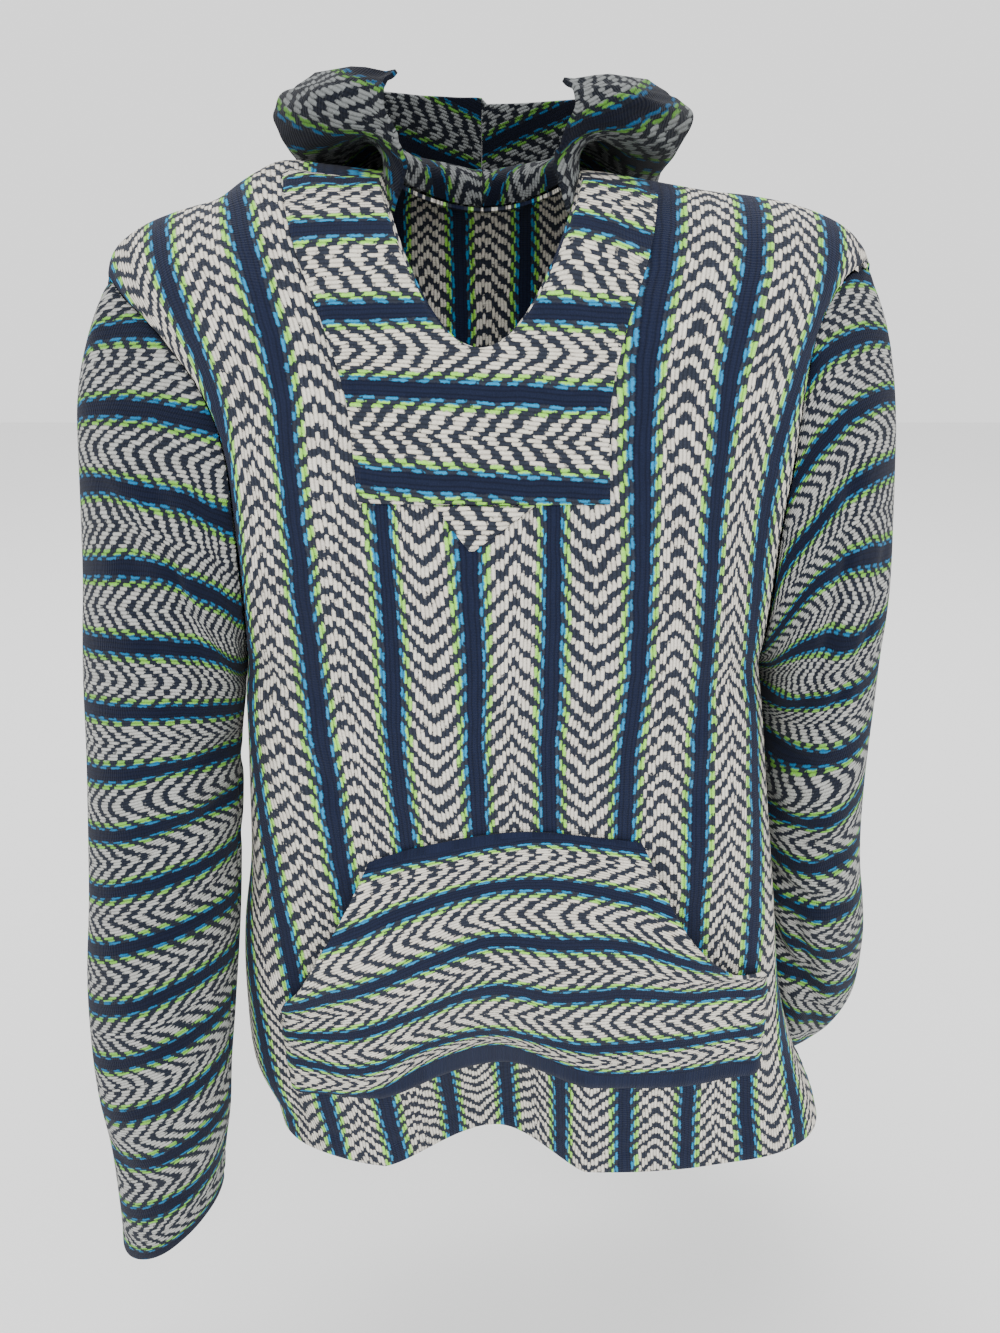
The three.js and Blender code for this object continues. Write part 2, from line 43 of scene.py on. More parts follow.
# The blanket cloth: stripes repeat every period, all sizes in millimetres.
cloth = {
    "thickness": 2.4,
    "edgeRound": 0.8,
    "edgeAngle": 55,
    "smoothAngle": 50,
    "period": 45,
    "yarnWidth": 2.2,
    "twillRepeat": 12.3,
    "twillSlope": 1.25,
    "peakShift": 0.14,
    "navyHalf": 4.3,
    "blueEnd": 6.9,
    "limeEnd": 10.2,
    "beige": (240, 236, 224),
    "beigeShade": (208, 199, 186),
    "weft": (44, 49, 61),
    "navy": (24, 31, 53),
    "lime": (158, 230, 88),
    "blue": (34, 138, 190),
    "bumpHeight": 1.3,
    "bumpStrength": 0.7,
    "fuzz": 0.048,
    "fuzzRoughness": 0.55,
    "roughness": 0.96,
    "specular": 0.12,
}
clothColours = ("beige", "beigeShade", "weft", "navy", "lime", "blue")

# Irregularities of the weave: scales of its noises, how far they move it in millimetres,
# then the lengths of its floats, the softness of its edges, its heights, its random tones, and the painted
# shade in the grooves between its yarns.
weaving = {
    "wobbleScale": 0.035,
    "raggedScale": 0.42,
    "patchScale": 0.11,
    "fibreScale": 1.0,
    "fibreStretch": (2.6, 0.8, 1),
    "acrossWobble": 3.0,
    "alongWobble": -9.0,
    "yarnJitter": 3.2,
    "raggedFloats": 6.5,
    "raggedStripes": 2.4,
    "shortestFloat": 0.155,
    "floatVariety": 0.13,
    "floatRounding": 0.06,
    "floatEdge": 0.05,
    "navyEdge": 0.4,
    "yarnEdge": 0.5,
    "weftLines": 3.6,
    "weftHeight": 0.12,
    "fibreHeight": 0.35,
    "fibreShade": 0.42,
    "yarnShade": 0.16,
    "paintedGrooveShade": 0.46,
}

body = {
    "hemHeight": -661,
    "armpitHeight": -285,
    "shoulderEndHeight": -47,
    "seamTopY": 3,
    "neckMiddleX": -10.6,
    "neckHalfWidth": 57,
    "neckTopHeight": 13,
    "frontNeckDepth": 94,
    "backNeckDepth": 15,
    "hemTurn": 20,
    "turnBelow": 20,
    "turnAbove": 45,
    "shoulderBend": 0.72,
    "straightFrom": -150,
}

# Outline of the front panel at each level: level, leftX, leftY, rightX, rightY.
frontEdges = [
    (-661, -173, 4, 250, 2),
    (-640, -176, 2, 244, 0),
    (-600, -188, 0, 226, -6),
    (-540, -190, 0, 207, -18),
    (-480, -185, 2, 197, -20),
    (-420, -176, 4, 189, -14),
    (-340, -171, 4, 178, -5),
    (-300, -168.6, 1, 172.4, 0),
    (-285, -168, 0, 172, 0),
    (-269, -162, -37, 168, -37),
    (-245, -158, -58, 166, -59),
    (-203, -157, -68, 167, -67),
    (-165, -160, -67, 172, -65),
    (-136, -172, -58, 176, -57),
    (-105, -198, -40, 183, -47),
    (-79, -223, -19, 199, -28),
    (-58, -235, -6, 218, -8),
    (-47, -238, 3, 225, 3),
]
backEdges = [row for row in frontEdges if row[0] <= -285] + [
    (-269, -165, 34, 170, 35),
    (-245, -166, 53, 172, 55),
    (-203, -168, 64, 175, 66),
    (-165, -176, 64, 181, 64),
    (-136, -188, 57, 188, 58),
    (-105, -206, 44, 198, 46),
    (-79, -225, 28, 210, 30),
    (-58, -235, 13, 221, 14),
    (-47, -238, 3, 225, 3),
]

# Height, then how far the middle of the front and of the back stand from the side seams.
depths = [
    (-661, 81, 92),
    (-600, 84, 90),
    (-540, 88, 87),
    (-450, 95, 84),
    (-380, 101, 86),
    (-285, 108, 99),
    (-217, 110, 108),
    (-150, 108, 112),
    (-80, 107, 112),
    (20, 107, 112),
]

# The line over the shoulders: x, height.
shoulders = [
    (-238, -47),
    (-233, -32),
    (-222, -22),
    (-206, -14),
    (-184, -7),
    (-165, -2),
    (-147, 9),
    (-126, 18),
    (-98, 16),
    (-67.6, 13),
    (46.4, 13),
    (84, 8),
    (123, 2),
    (144, 0),
    (168, -4),
    (186, -9),
    (203, -16),
    (214, -24),
    (221, -33),
    (225, -47),
]

# Sleeve rings: outX, outY, outZ, inX, inY, inZ, half, keep.
leftRings = [
    (-238, 3, -47, -168, 0, -285, 66, 1),
    (-252, 0, -78, -170, -3, -291, 68, 0.72),
    (-262, -4, -112, -171, -6, -297, 70, 0.45),
    (-266, -8, -150, -172, -9, -304, 70, 0.24),
    (-268, -14, -197, -173, -14, -313, 68, 0.1),
    (-270, -20, -245, -174, -20, -325, 65, 0),
    (-272, -26, -294, -175, -26, -343, 62, 0),
    (-274, -32, -342, -176, -32, -369, 59, 0),
    (-277, -38, -391, -178, -38, -402, 57, 0),
    (-281, -45, -441, -180, -45, -441, 55, 0),
    (-286, -52, -493, -184, -52, -483, 53, 0),
    (-289, -57, -544, -189, -57, -528, 51, 0),
    (-289, -60, -595, -195, -59, -575, 48, 0),
    (-288, -60, -646, -200, -57, -622, 45, 0),
    (-289, -60, -699, -208, -54, -662, 42, 0),
    (-293, -59, -746, -212, -49, -692, 40, 0),
]
rightRings = [
    (225, 3, -47, 172, 0, -285, 66, 1),
    (236, 0, -76, 174, -2, -291, 68, 0.72),
    (243, -2, -108, 176, -3, -297, 69, 0.45),
    (246, -3, -148, 177, -3, -305, 68, 0.24),
    (250, -3, -195, 179, -3, -315, 66, 0.1),
    (250, -2, -240, 180, -2, -328, 63, 0),
    (250, 0, -288, 182, 0, -346, 60, 0),
    (253, 5, -338, 184, 5, -373, 57, 0),
    (260, 13, -393, 188, 14, -408, 55, 0),
    (271, 24, -446, 193, 27, -444, 53, 0),
    (284, 36, -500, 199, 44, -480, 52, 0),
    (295, 50, -556, 202, 62, -510, 51, 0),
    (298, 71, -621, 198, 82, -540, 51, 0),
    (283, 96, -671, 184, 103, -574, 50, 0),
    (258, 121, -706, 166, 126, -608, 48, 0),
    (228, 144, -732, 146, 148, -640, 46, 0),
    (200, 164, -752, 128, 166, -667, 44, 0),
]

# Hood sections: bearing, then distance and height of stand, over, lay, fold, out and rim.
hoodSections = [
    (50, 62, 12, 65, 20, 70, 29, 76, 38, 76, 49, 66, 57),
    (70, 60, 22, 67, 28, 79, 27, 94, 31, 98, 48, 76, 62),
    (90, 59, 23, 68, 30, 87, 22, 110, 24, 121, 46, 94, 64),
    (115, 60, 22, 70, 28, 95, 17, 122, 12, 134, 42, 104, 69),
    (130, 60, 20, 75, 27, 112, 12, 142, -10, 153, 20, 114, 70),
    (145, 61, 16, 79, 24, 119, 2, 155, -106, 175, -34, 124, 70),
    (180, 62, 10, 82, 18, 116, -12, 149, -206, 186, -72, 130, 70),
]

# Outer edges of the yoke: height, leftX, rightX.
yokeEdges = [
    (-163, -78, 60),
    (-108, -82, 59),
    (-68, -94, 67),
    (-24, -112, 81),
    (10, -121, 88),
]
yoke = {
    "bottom": -163,
    "lift": 1.1,
    "topMargin": 1.5,
    "sideMargin": 9,
    "rows": 76,
    "neckColumns": 57,
    "limbColumns": 14,
    "stitchLine": 7,
    "ruffle": 0.35,
}
tab = {
    "leftX": -36,
    "rightX": 19,
    "pointX": -16,
    "pointShare": 0.05,
    "height": 25,
    "gap": 0.6,
    "rows": 16,
    "columns": 24,
}

# Side edges of the pocket: share of the height, leftX, leftZ, rightX, rightZ.
pocketEdges = [
    (0, -151, -602, 186, -585),
    (0.34, -151, -527, 185, -503),
    (0.5, -133, -497, 152, -486),
    (0.72, -108, -451, 121, -448),
    (1, -83, -393, 88, -378),
]
pocket = {
    "lift": 2,
    "mouthStart": 0.34,
    "mouth": 13,
    "ease": 6,
    "bottomArch": 13,
    "topArch": 18,
    "rows": 88,
    "columns": 110,
    "hemLine": 12,
}

# The deep soft fold up the middle of the front.
hemFold = {"x": -3, "top": -455, "depth": 46, "leftReach": 82, "rightReach": 66, "power": 1.35}

# Drapes as in the solids: x, z, endX, endZ, reach, depth, inwards where depth is positive.
frontDrapes = [
    (-120, -250, -60, -400, 26, 4),
    (140, -230, 96, -380, 24, 4),
    (150, -420, 168, -640, 22, 5),
    (-118, -430, -128, -640, 20, 4),
]
backDrapes = [
    (-20, -330, -46, -661, 34, 14),
    (84, -380, 96, -661, 28, 11),
    (-126, -300, -112, -640, 26, 9),
    (150, -330, 152, -520, 22, 6),
    (-130, -170, -40, -270, 24, 5),
    (130, -170, 44, -280, 24, 5),
]

# Finer creases on the cloth, in the same terms.
frontCreases = [
    (-150, -300, -96, -352, 10, 2.2),
    (-158, -262, -120, -300, 8, 1.8),
    (158, -262, 118, -306, 8, 1.8),
    (150, -310, 108, -372, 11, 2.4),
    (-160, -520, -150, -640, 12, 3),
    (180, -470, 206, -620, 13, 3),
    (-196, -60, -160, -130, 12, 1.8),
    (184, -70, 158, -140, 12, 1.8),
    (-132, 8, -98, -14, 7, 2.8),
    (-114, 14, -82, 0, 6, 2.2),
    (-150, -4, -128, -40, 9, 2),
    (84, 2, 76, -46, 7, 2.8),
    (64, 6, 70, -28, 6, 2),
    (104, -4, 94, -52, 8, 2.2),
    (-40, -200, -34, -330, 22, 1.2),
    (34, -210, 40, -350, 20, 1.4),
]
backCreases = [
    (-158, -262, -96, -316, 12, 3),
    (160, -262, 92, -320, 12, 3),
    (-150, -380, -60, -430, 14, 2.4),
    (150, -400, 70, -452, 14, 2.2),
    (-60, -520, 10, -560, 16, 2),
    (-206, -70, -150, -120, 12, 2),
    (196, -70, 150, -120, 12, 2),
    (0, -240, 6, -330, 20, 1.6),
]

# A sleeve is drawn with so many rows. Its creases take a ring and a turn to be so long.
sleeve = {"rows": 150, "ringLength": 48, "turnLength": 330, "topEase": 26, "cuffEase": 18}

# Creases on a sleeve: ring, angle in degrees, end ring, end angle, reach, depth.
# The angle is 0 along the outside of the arm and 90 along its front.
leftSleeveCreases = [
    (1.2, 60, 4.4, 128, 9, 3.2),
    (2.6, 44, 5.6, 118, 10, 2.2),
    (5.4, 176, 7.0, 96, 9, 4.6),
    (6.8, 178, 8.2, 86, 10, 5),
    (8.4, 178, 9.2, 104, 8, 2.4),
    (6.2, -176, 7.6, -92, 10, 3.4),
    (8.0, -176, 8.8, -80, 9, 2.8),
    (10.2, 150, 11.6, 72, 10, 1.8),
    (12.0, -30, 13.4, -120, 10, 2),
    (12.6, 30, 13.8, 110, 9, 1.6),
    (2.0, -60, 5.0, -128, 12, 3),
]
rightSleeveCreases = [
    (1.2, 60, 4.4, 128, 9, 3),
    (3.4, 40, 5.4, 112, 9, 2.4),
    (5.4, 176, 6.8, 92, 9, 3),
    (7.2, 178, 8.4, 70, 10, 3.6),
    (9.0, 178, 9.4, 60, 9, 6),
    (9.8, 176, 11.4, 78, 10, 7),
    (9.4, 120, 12.6, 40, 9, 5),
    (10.6, 150, 13.0, 66, 9, 3),
    (11.4, -176, 12.0, -80, 10, 3.4),
    (9.4, -176, 10.2, -70, 9, 3),
    (13.4, 120, 14.8, 40, 9, 2),
    (2.0, -60, 5.0, -128, 12, 3),
]

# Where the navy stripes cross the front: height, then x of the stripes -1 to 6.
frontStripes = [
    (-661, -119, -74, -34, 7, 45, 91, 136, 185),
    (-560, -134, -86, -42, 2, 42, 87, 132, 174),
    (-450, -147, -96, -52, -7, 37, 81, 128, 173),
    (-333, -160, -106, -62, -14, 29, 77, 124.5, 163),
    (-245, -158, -113, -63, -15, 30, 81, 123, 153),
    (-161, -156.5, -118, -66, -17, 29, 78.5, 121.4, 153),
    (-98, -167, -122.5, -70, -18, 28, 79, 127, 173),
    (-34, -200, -150.5, -100, -38, 32, 97, 146, 197),
    (13, -215, -170, -112, -40, 32, 98, 148, 197),
]
firstFrontStripe = -1
backMiddlePlace = 21  # of the middle of the back, past a navy stripe

# Stripes along the outside of a sleeve: ring, stripes counted up to it. A whole count is navy.
leftSleeveStripes = [
    (0, -1.1),
    (2.2, 0.8),
    (4.4, 2.9),
    (6.1, 4.8),
    (7.8, 6.7),
    (9.4, 8.7),
    (11.1, 10.8),
    (12.9, 13),
    (15, 15.1),
]
rightSleeveStripes = [
    (0, -1.4),
    (1, -0.4),
    (2, 0.7),
    (3, 1.8),
    (4, 2.8),
    (5, 4.1),
    (6.2, 5.7),
    (7.4, 7),
    (8.3, 8),
    (9.5, 9),
    (11.3, 11),
    (13, 13),
    (15.1, 15),
    (16, 15.9),
]
# How much further down the sleeve the cloth of its inside is, on the same ring: ring, shift.
leftSleeveShifts = [(0, 217), (2, 160), (4, 106), (6, 59), (8, 41), (10, 23), (12, 13), (14, 0), (15, 0)]
rightSleeveShifts = [
    (0, 190),
    (2, 170),
    (3, 140),
    (4, 105),
    (5, 70),
    (6.4, 10),
    (7.5, -15),
    (10, 0),
    (16, 0),
]

# Height of the yoke's stripes, and then of the pocket's at a row of places across it.
yokeStripes = [(-208, 4.05), (-152, 3), (-105, 2), (-63.5, 1), (-22, 0), (0, -0.85), (13, -1.7)]
pocketStripePlaces = (-150, -105, -55, -7, 35, 85, 130, 180)
pocketStripes = [
    (-602, -592, -566, -554, -560, -565, -566, -572),
    (-567, -567, -545, -536, -541, -539, -540, -545),
    (-545, -534, -508, -484, -491, -490, -499, -512),
    (-522, -497, -467, -446, -447, -449, -470, -492),
    (-470, -446, -421, -405, -402, -413, -434, -455),
    (-420, -402, -387, -374, -370, -380, -396, -412),
]


def smooth(low, high, value):
    share = np.clip((value - low) / (high - low), 0, 1)
    return share * share * (3 - 2 * share)


def mix(a, b, share):
    return a + (b - a) * share


def curveOf(keys, values):
    keys = np.array(keys, float)
    values = np.array(values, float)
    last = len(keys) - 1
    places = np.arange(last + 1)
    before = np.maximum(places - 1, 0)
    after = np.minimum(places + 1, last)
    slopes = (values[after] - values[before]) / (keys[after] - keys[before])

    def read(key):
        key = np.clip(key, keys[0], keys[-1])
        i = np.clip(np.searchsorted(keys, key, side="right") - 1, 0, last - 1)
        step = keys[i + 1] - keys[i]
        f = (key - keys[i]) / step
        rise = (1 - f) ** 2 * f * slopes[i] - f * f * (1 - f) * slopes[i + 1]
        return values[i] + (values[i + 1] - values[i]) * f * f * (3 - 2 * f) + rise * step

    return read


def curvesOf(rows):
    columns = list(zip(*rows))
    return [curveOf(columns[0], column) for column in columns[1:]]


shoulderLine = curvesOf(shoulders)[0]


def creaseDepth(creases, x, z):
    total = np.zeros(np.broadcast(x, z).shape)
    for startX, startZ, endX, endZ, reach, depth in creases:
        alongX = endX - startX
        alongZ = endZ - startZ
        length = math.hypot(alongX, alongZ)
        share = ((x - startX) * alongX + (z - startZ) * alongZ) / length**2
        off = ((x - startX) * alongZ - (z - startZ) * alongX) / length / reach
        ends = smooth(-0.1, 0.3, share) * (1 - smooth(0.9, 1.2, share))
        total = total + depth * ends * np.exp(-off * off)
    return total


def hemFoldDepth(x, z):
    off = x - hemFold["x"]
    reach = np.where(off < 0, hemFold["leftReach"], hemFold["rightReach"])
    across = np.cos(math.pi / 2 * np.clip(off / reach, -1, 1))
    across = np.maximum(across, 0) ** hemFold["power"]
    return hemFold["depth"] * across * smooth(hemFold["top"], body["hemHeight"], z)


frontDepth, backDepth = curvesOf(depths)
panels = {
    "front": {
        "side": -1,
        "edges": curvesOf(frontEdges),
        "depth": frontDepth,
        "round": (3, 2.4),
        "roll": (177, 90),
        "folds": lambda x, z: hemFoldDepth(x, z) + creaseDepth(frontDrapes, x, z),
    },
    "back": {
        "side": 1,
        "edges": curvesOf(backEdges),
        "depth": backDepth,
        "round": (2.3, 2.4),
        "roll": (92, 70),
        "folds": lambda x, z: creaseDepth(backDrapes, x, z),
    },
}


def levelOf(x, z):
    low = body["armpitHeight"]
    share = np.clip((z - low) / (shoulderLine(x) - low), 0, 1)
    return np.where(z <= low, z, mix(low, body["shoulderEndHeight"], share))


def panelPoints(panel, x, z):
    low = body["armpitHeight"]
    level = levelOf(x, z)
    leftX, leftY, rightX, rightY = [edge(level) for edge in panel["edges"]]
    s = np.clip((2 * x - leftX - rightX) / (rightX - leftX), -1, 1)
    edgeY = mix(leftY, rightY, (s + 1) / 2)
    upper = smooth(low - body["turnBelow"], low + body["turnAbove"], level)
    power = mix(panel["round"][0], panel["round"][1], upper)
    bend = mix(1 / panel["round"][0], body["shoulderBend"], upper)
    bulge = np.maximum(1 - np.abs(s) ** power, 0) ** bend
    rollHeight = mix(panel["roll"][0], panel["roll"][1], s * s)
    drop = np.clip((shoulderLine(x) - z) / rollHeight, 0, 1)
    roll = np.sqrt(1 - (1 - drop) ** 2)
    full = panel["side"] * panel["depth"](z)
    middleY = mix(body["seamTopY"], full, roll) - panel["side"] * panel["folds"](x, z)
    y = mix(edgeY, middleY, bulge)
    return np.stack(np.broadcast_arrays(x, y, z), axis=-1)


def panelNormals(panel, x, z):
    d = 1.5
    across = panelPoints(panel, x + d, z) - panelPoints(panel, x - d, z)
    up = panelPoints(panel, x, z + d) - panelPoints(panel, x, z - d)
    normal = np.cross(across, up) * -panel["side"]
    return normal / np.linalg.norm(normal, axis=-1, keepdims=True)


def topEdge(x, neckDepth):
    off = (x - body["neckMiddleX"]) / body["neckHalfWidth"]
    inside = body["neckTopHeight"] - neckDepth * (1 - off * off)
    return np.where(np.abs(off) >= 1, shoulderLine(x), inside)


topLeft = frontEdges[-1][1]
topRight = frontEdges[-1][3]
topMiddle = (topLeft + topRight) / 2
topHalf = (topRight - topLeft) / 2
neckLeft = (body["neckMiddleX"] - body["neckHalfWidth"] - topMiddle) / topHalf
neckRight = (body["neckMiddleX"] + body["neckHalfWidth"] - topMiddle) / topHalf


def panelColumns(sideCount, neckCount):
    inwards = 1 - np.cos(math.pi / 2 * np.arange(sideCount) / sideCount)
    left = mix(-1, neckLeft, inwards)
    middle = mix(neckLeft, neckRight, np.arange(neckCount + 1) / neckCount)
    right = mix(1, neckRight, inwards)[::-1]
    return np.concatenate([left, middle, right])


def panelLevels(lowCount, highCount):
    low = mix(body["hemHeight"], body["armpitHeight"], np.arange(lowCount) / lowCount)
    share = (1 - np.cos(math.pi * np.arange(highCount + 1) / highCount)) / 2
    high = mix(body["armpitHeight"], body["shoulderEndHeight"], share)
    return np.concatenate([low, high])


def panelGrid(panel, neckDepth, levels, columns):
    level = levels[:, None]
    column = columns[None, :]
    low = body["armpitHeight"]
    left = panel["edges"][0](level)
    right = panel["edges"][2](level)
    own = mix(left, right, (column + 1) / 2)
    straight = topMiddle + column * topHalf
    hold = smooth(low, body["straightFrom"], level) * (1 - smooth(0.45, 1, np.abs(column)))
    x = mix(own, straight, hold)
    upper = np.maximum(level - low, 0) / (body["shoulderEndHeight"] - low)
    z = np.where(upper > 0, mix(low, topEdge(x, neckDepth), upper), level)
    return panelPoints(panel, x, z)


def gridNormals(points):
    across = np.gradient(points, axis=1)
    up = np.gradient(points, axis=0)
    normal = np.cross(across, up)
    length = np.linalg.norm(normal, axis=-1, keepdims=True)
    return normal / np.maximum(length, 1e-9)


def arcLength(points, axis):
    steps = np.linalg.norm(np.diff(points, axis=axis), axis=-1)
    zero = np.zeros_like(np.take(steps, [0], axis=axis))
    return np.concatenate([zero, np.cumsum(steps, axis=axis)], axis=axis)


# Soft unevenness of the cloth, from a few crossing waves.
def unevenness(u, v):
    first = np.sin(u / 31 + 1.3 * np.sin(v / 47)) * np.sin(v / 38 + 0.7)
    second = np.sin(u / 13 + v / 17 + 2.1 * np.sin(u / 53)) * 0.45
    return first + second


# A sewn edge turns in: distance from the edge to how far the cloth dips there.
def seamDip(distance, depth=1.6, reach=3.2):
    return depth * np.exp(-((distance / reach) ** 2))


# The line of stitches of a turned hem, at its own distance from the edge.
def hemLine(distance, place, depth=0.9, reach=2.2):
    return depth * np.exp(-(((distance - place) / reach) ** 2))


def puckers(distance, along, depth=0.55, reach=9, spacing=11):
    wave = np.sin(along * 2 * math.pi / spacing + 1.7 * np.sin(along / 37))
    return depth * np.exp(-distance / reach) * wave


areas = {}


def clothPiece(name, points, flip, uv, node, material):
    rowCount, count = points.shape[:2]
    index = np.arange(rowCount * count).reshape(rowCount, count)
    corners = [index[:-1, :-1], index[:-1, 1:], index[1:, 1:], index[1:, :-1]]
    if flip:
        corners.reverse()
    faces = np.stack(corners, axis=-1).reshape(-1, 4)
    mesh = bpy.data.meshes.new(name)
    mesh.from_pydata((points.reshape(-1, 3) * millimetre).tolist(), [], faces.tolist())
    layer = mesh.uv_layers.new(name="cloth")
    flat = uv.reshape(-1, 2)[faces.reshape(-1)]
    layer.data.foreach_set("uv", flat.reshape(-1).astype(np.float32))
    mesh.update()
    piece = bpy.data.objects.new(name, mesh)
    bpy.context.scene.collection.objects.link(piece)
    mesh.materials.append(material)
    bpy.ops.object.select_all(action="DESELECT")
    piece.select_set(True)
    bpy.context.view_layer.objects.active = piece
    bpy.ops.object.shade_smooth_by_angle(angle=math.radians(cloth["smoothAngle"]))
    wall = piece.modifiers.new("wall", "SOLIDIFY")
    wall.thickness = cloth["thickness"] * millimetre
    wall.offset = -1
    wall.use_even_offset = False
    rounding = piece.modifiers.new("rounding", "BEVEL")
    rounding.width = cloth["edgeRound"] * millimetre
    rounding.segments = 2
    rounding.limit_method = "ANGLE"
    rounding.angle_limit = math.radians(cloth["edgeAngle"])
    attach(piece, "root")
    for part in node:
        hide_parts(part)
    diagonals = points[1:, 1:] - points[:-1, :-1], points[:-1, 1:] - points[1:, :-1]
    area = np.linalg.norm(np.cross(*diagonals), axis=-1).sum() / 2
    areas[name] = round(float(area) * millimetre**2, 4)
    print(name, "area", areas[name])
    return piece


# Lays a piece out flat and turns it so that its last column lies along the stripes,
# with the middle of a navy stripe the given distance inside it.
def layFlat(piece, points, navyPlace, startRow):
    mesh = piece.data
    bpy.ops.object.mode_set(mode="EDIT")
    bpy.ops.mesh.select_all(action="SELECT")
    bpy.ops.uv.unwrap(method="ANGLE_BASED", margin=0.001)
    bpy.ops.object.mode_set(mode="OBJECT")
    layer = mesh.uv_layers["cloth"]
    found = np.empty(len(mesh.loops) * 2, dtype=np.float32)
    layer.data.foreach_get("uv", found)
    corners = np.empty(len(mesh.loops), dtype=np.int32)
    mesh.loops.foreach_get("vertex_index", corners)
    flat = np.zeros((len(mesh.vertices), 2))
    flat[corners] = found.reshape(-1, 2)
    flat = flat.reshape(*points.shape[:2], 2)
    first = flat[1:, 1:] - flat[:-1, :-1]
    second = flat[:-1, 1:] - flat[1:, :-1]
    flatArea = np.abs(first[..., 0] * second[..., 1] - first[..., 1] * second[..., 0]).sum() / 2
    flat = flat * math.sqrt(areas[piece.name] * 1e6 / flatArea)  # to millimetres
    edge = flat[:, -1]
    along = edge[-1] - edge[0]
    along = along / np.linalg.norm(along)
    u = flat @ np.array([along[1], -along[0]])
    v = flat @ along
    u = u - u[:, -1].mean()
    u = -u * np.sign(u.mean()) + navyPlace
    placed = np.stack([u, v - v[startRow, -1]], axis=-1).reshape(-1, 2)[corners]
    layer.data.foreach_set("uv", placed.reshape(-1).astype(np.float32))


def linearColour(colour):
    values = []
    for part in colour:
        part = part / 255
        values.append(part / 12.92 if part <= 0.04045 else ((part + 0.055) / 1.055) ** 2.4)
    return (*values, 1)


def calculate(tree, operation, *inputs):
    node = tree.nodes.new("ShaderNodeMath")
    node.operation = operation
    for socket, value in zip(node.inputs, inputs):
        if isinstance(value, (int, float)):
            socket.default_value = value
        else:
            tree.links.new(value, socket)
    return node.outputs[0]


def step(tree, value, low, high):
    node = tree.nodes.new("ShaderNodeMapRange")
    node.interpolation_type = "SMOOTHSTEP"
    node.inputs["From Min"].default_value = low
    node.inputs["From Max"].default_value = high
    tree.links.new(value, node.inputs["Value"])
    return node.outputs["Result"]


def blendColours(tree, share, first, second):
    node = tree.nodes.new("ShaderNodeMix")
    node.data_type = "RGBA"
    tree.links.new(share, node.inputs["Factor"])
    for socket, value in ((node.inputs[6], first), (node.inputs[7], second)):
        if isinstance(value, tuple):
            socket.default_value = value
        else:
            tree.links.new(value, socket)
    return node.outputs[2]


def noiseOf(tree, vector, scale, detail, stretch=(1, 1, 1)):
    mapping = tree.nodes.new("ShaderNodeMapping")
    mapping.inputs["Scale"].default_value = stretch
    tree.links.new(vector, mapping.inputs["Vector"])
    node = tree.nodes.new("ShaderNodeTexNoise")
    node.inputs["Scale"].default_value = scale
    node.inputs["Detail"].default_value = detail
    tree.links.new(mapping.outputs[0], node.inputs["Vector"])
    return node.outputs["Fac"]
